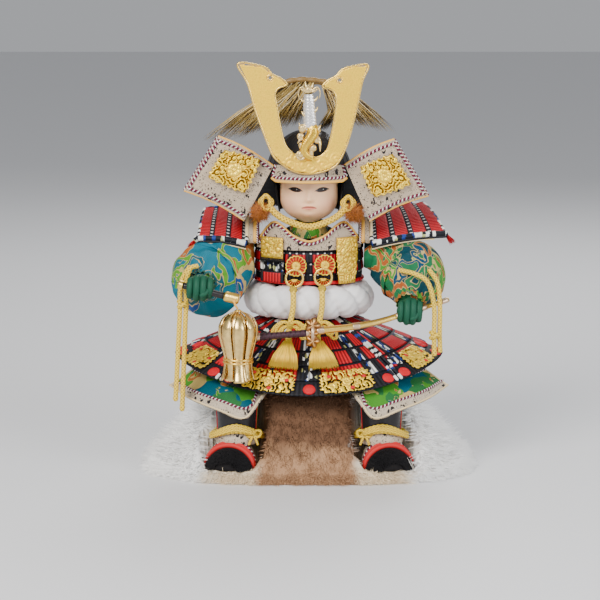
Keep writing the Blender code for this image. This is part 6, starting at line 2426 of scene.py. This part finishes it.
            skin.ball((x, -66.4, z), (size, size * 0.6, size), around=18, tall=12, bend=lambda d,
                      t: 1 + 0.14 * sin(5 * t + 4 * d))
        for x, z, dx, dz in ((-4, 306, -5, 6), (5, 305, 5, 5), (6, 300, 4.5, -7), (-6, 298, -4, -4),
                             (9.0, 296, 0.6, -9), (-3, 318, -3.5, 4), (4, 322, 3.5, 4), (-3, 330, -4.5, 3),
                             (3, 331, 4.5, 4), (-2, 339, -6, 4), (1.5, 339, 6, 3), (-1.5, 342, -2, 6),
                             (1, 342, 2.5, 5)):
            horn = smooth([(x, -66.4, z), (x + dx * 0.6, -67.6, z + dz * 0.3), (x + dx, -66.8, z + dz)], 10)
            skin.tube(horn, linspace(1.5, 0.4, 10), guide=BACK, around=8)
        turn = turns(25)
        skin.tube(at(-7.2 + 3.4 * cos(turn), -66 + 0 * turn, 283.5 + 3.4 * sin(turn)), 1.1, closed=True,
                  guide=BACK)
        for hand in (-1, 1):
            skin.tube(smooth([(hand * 2, -67.6, 340), (hand * 7, -68, 343), (hand * 9.5, -67.6, 338),
                              (hand * 8.6, -67, 333)], 24), linspace(0.8, 0.3, 24), guide=BACK, around=8)
        skin.make("dragon_casting", [CARVED], "pale_gold", ["dragon_crest"])

    def plume(self) -> None:
        """Bristle plume behind the horns: a thin core and a fan of stiff bristles from the middle."""
        left = smooth([(-97, 290.5), (-84, 291), (-66, 293), (-50, 297), (-34, 301), (-18, 303), (-8, 306)],
                      300)
        right = smooth([(80, 298), (66, 300.5), (48, 303), (34, 303)], 200)
        bunch = smooth([(22, 303.5), (14, 301), (7, 299)], 100)
        rng = np.random.default_rng(21)
        skin = Skin()
        gold, brown, pale = paint((0.62, 0.42, 0.12), (0.06, 0.03, 0.01), (0.95, 0.8, 0.5))
        fans = ((left, 520, (-26, 4), (339, 344.5), 2.0, 0.0), (right, 250, (14, 34), (337, 342), 2.0, 0.0),
                (bunch, 240, (12, 20), (338, 343), 0.0, 9.0))
        for line, count, across, high, lift, drift in fans:
            share = rng.uniform(0, 1, count) ** 0.7
            tip = line[(share * (len(line) - 1)).astype(int)] + rng.normal(0, 1.3, (count, 2))
            spread = share if line[0, 0] < 0 else 1 - share
            x = across[0] + (across[1] - across[0]) * clip(spread + rng.normal(0, 0.08, count), 0, 1)
            z = high[0] + (high[1] - high[0]) * rng.uniform(0, 1, count) - 0.1 * abs(x)
            depth = rng.uniform(-3.4, 3.4, count)
            roots, tips = at(x, -8 + depth * 0.6, z), at(tip[:, 0], -8 + depth, tip[:, 1])
            bend = at(drift + 0 * x, 0 * x, lift * np.linalg.norm(tips - roots, axis=1) / 60
                      + rng.normal(0, 0.5, count))
            luck = rng.uniform(0, 1, (count, 1))
            # painted light: at random, pale bristles stand for highlights and near-black brown ones for
            # shade between bristles; the rest are gold
            tone = where(luck < 0.34, brown, where(luck < 0.84, gold, pale)) * rng.uniform(0.7, 1.2,
                    (count, 1)) * [1, 1, 1, 0] + [0, 0, 0, 1]
            skin.hairs(roots, tips, bend, 0.42, tone)
        line = smooth([(-28, -8, 341.5), (-12, -8, 345), (4, -8, 345), (20, -8, 342), (34, -8, 337)], 60)
        for shift in (0.0, 2.2):
            skin.tube(line + [0, shift - 1, -shift * 0.8], 2.3 + 0.3 * sin(linspace(0, 40, 60)),
                      dye=tuple(brown * 1.6 + gold * 0.15), guide=BACK)
        skin.make("plume_bristles", [BRISTLE], "plume", ["plume"], weld=False)

    def chin(self) -> None:
        """Chin cord under the chin, a loop at each temple and a silk tuft at each."""
        skin = Skin()
        path = smooth([(-36.5, -44, 238), (-29, -46, 229.7), (-17, -49, 223.1), (0, -50.5, 218.9),
                       (17, -49, 223.6), (28, -46, 230.2), (33.5, -44, 238)], 120)
        turn = turns(25)
        along = linspace(0, length_of(path), 120)[:, None]
        braid = 0.94 + 0.16 * maximum(sin(2 * turn + along * 1.5), sin(2 * turn - along * 1.5))
        skin.grid(sweep(path, 2.8, 24, BACK, shape=braid), ends=True)
        for x, z in ((-38, 240), (34.5, 239)):
            turn = turns(49)
            for grow, shift in ((-0.6, 0.0), (1.4, 2.2)):
                skin.tube(at(x + (5.0 - grow) * cos(turn), -44.5 - shift + 0 * turn,
                             z + (5.0 + grow) * sin(turn)), 1.6, closed=True, guide=BACK)
        skin.make("chin_braid", [CHIN], "cord", ["chin_cord"])
        rng = np.random.default_rng(33)
        tuft = Skin()
        for side, x, z in ((-1, -38, 240), (1, 34.5, 239)):
            count = 1700
            run = unit(rng.normal(0, 1, (count, 3)) * [1, 0.5, 1] + [side * 0.7, -0.2, -0.4])
            root = array([x + side * 4, -45.0, z - 8]) + rng.normal(0, 1.6, (count, 3)) * [1.3, 0.6, 1.2]
            tips = root + run * rng.uniform(5, 11, count)[:, None]
            tone = varied(rng.uniform(0.6, 1.3, count), (0.42, 0.13, 0.02))
            tuft.hairs(root, tips, None, 0.36, tone)
        tuft.make("chin_tufts", [TASSEL], "cord", weld=False)


ASSEMBLIES = (FurPelt, Leg, ThighGuards, Skirt, Cuirass, ShoulderGuards, BreastTies, Sleeves, Sword, Baton,
              Head, Helmet)


def main() -> None:
    """Builds the doll piece by piece."""
    logging.basicConfig(level=logging.INFO, format="%(message)s")
    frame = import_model()
    studio = Studio()
    studio.camera()
    SleeveCords().build()
    studio.build()
    for part in ASSEMBLIES:
        part(frame).build()
        LOG.info("built %s", part.__name__)


if __name__ == "__main__":
    main()
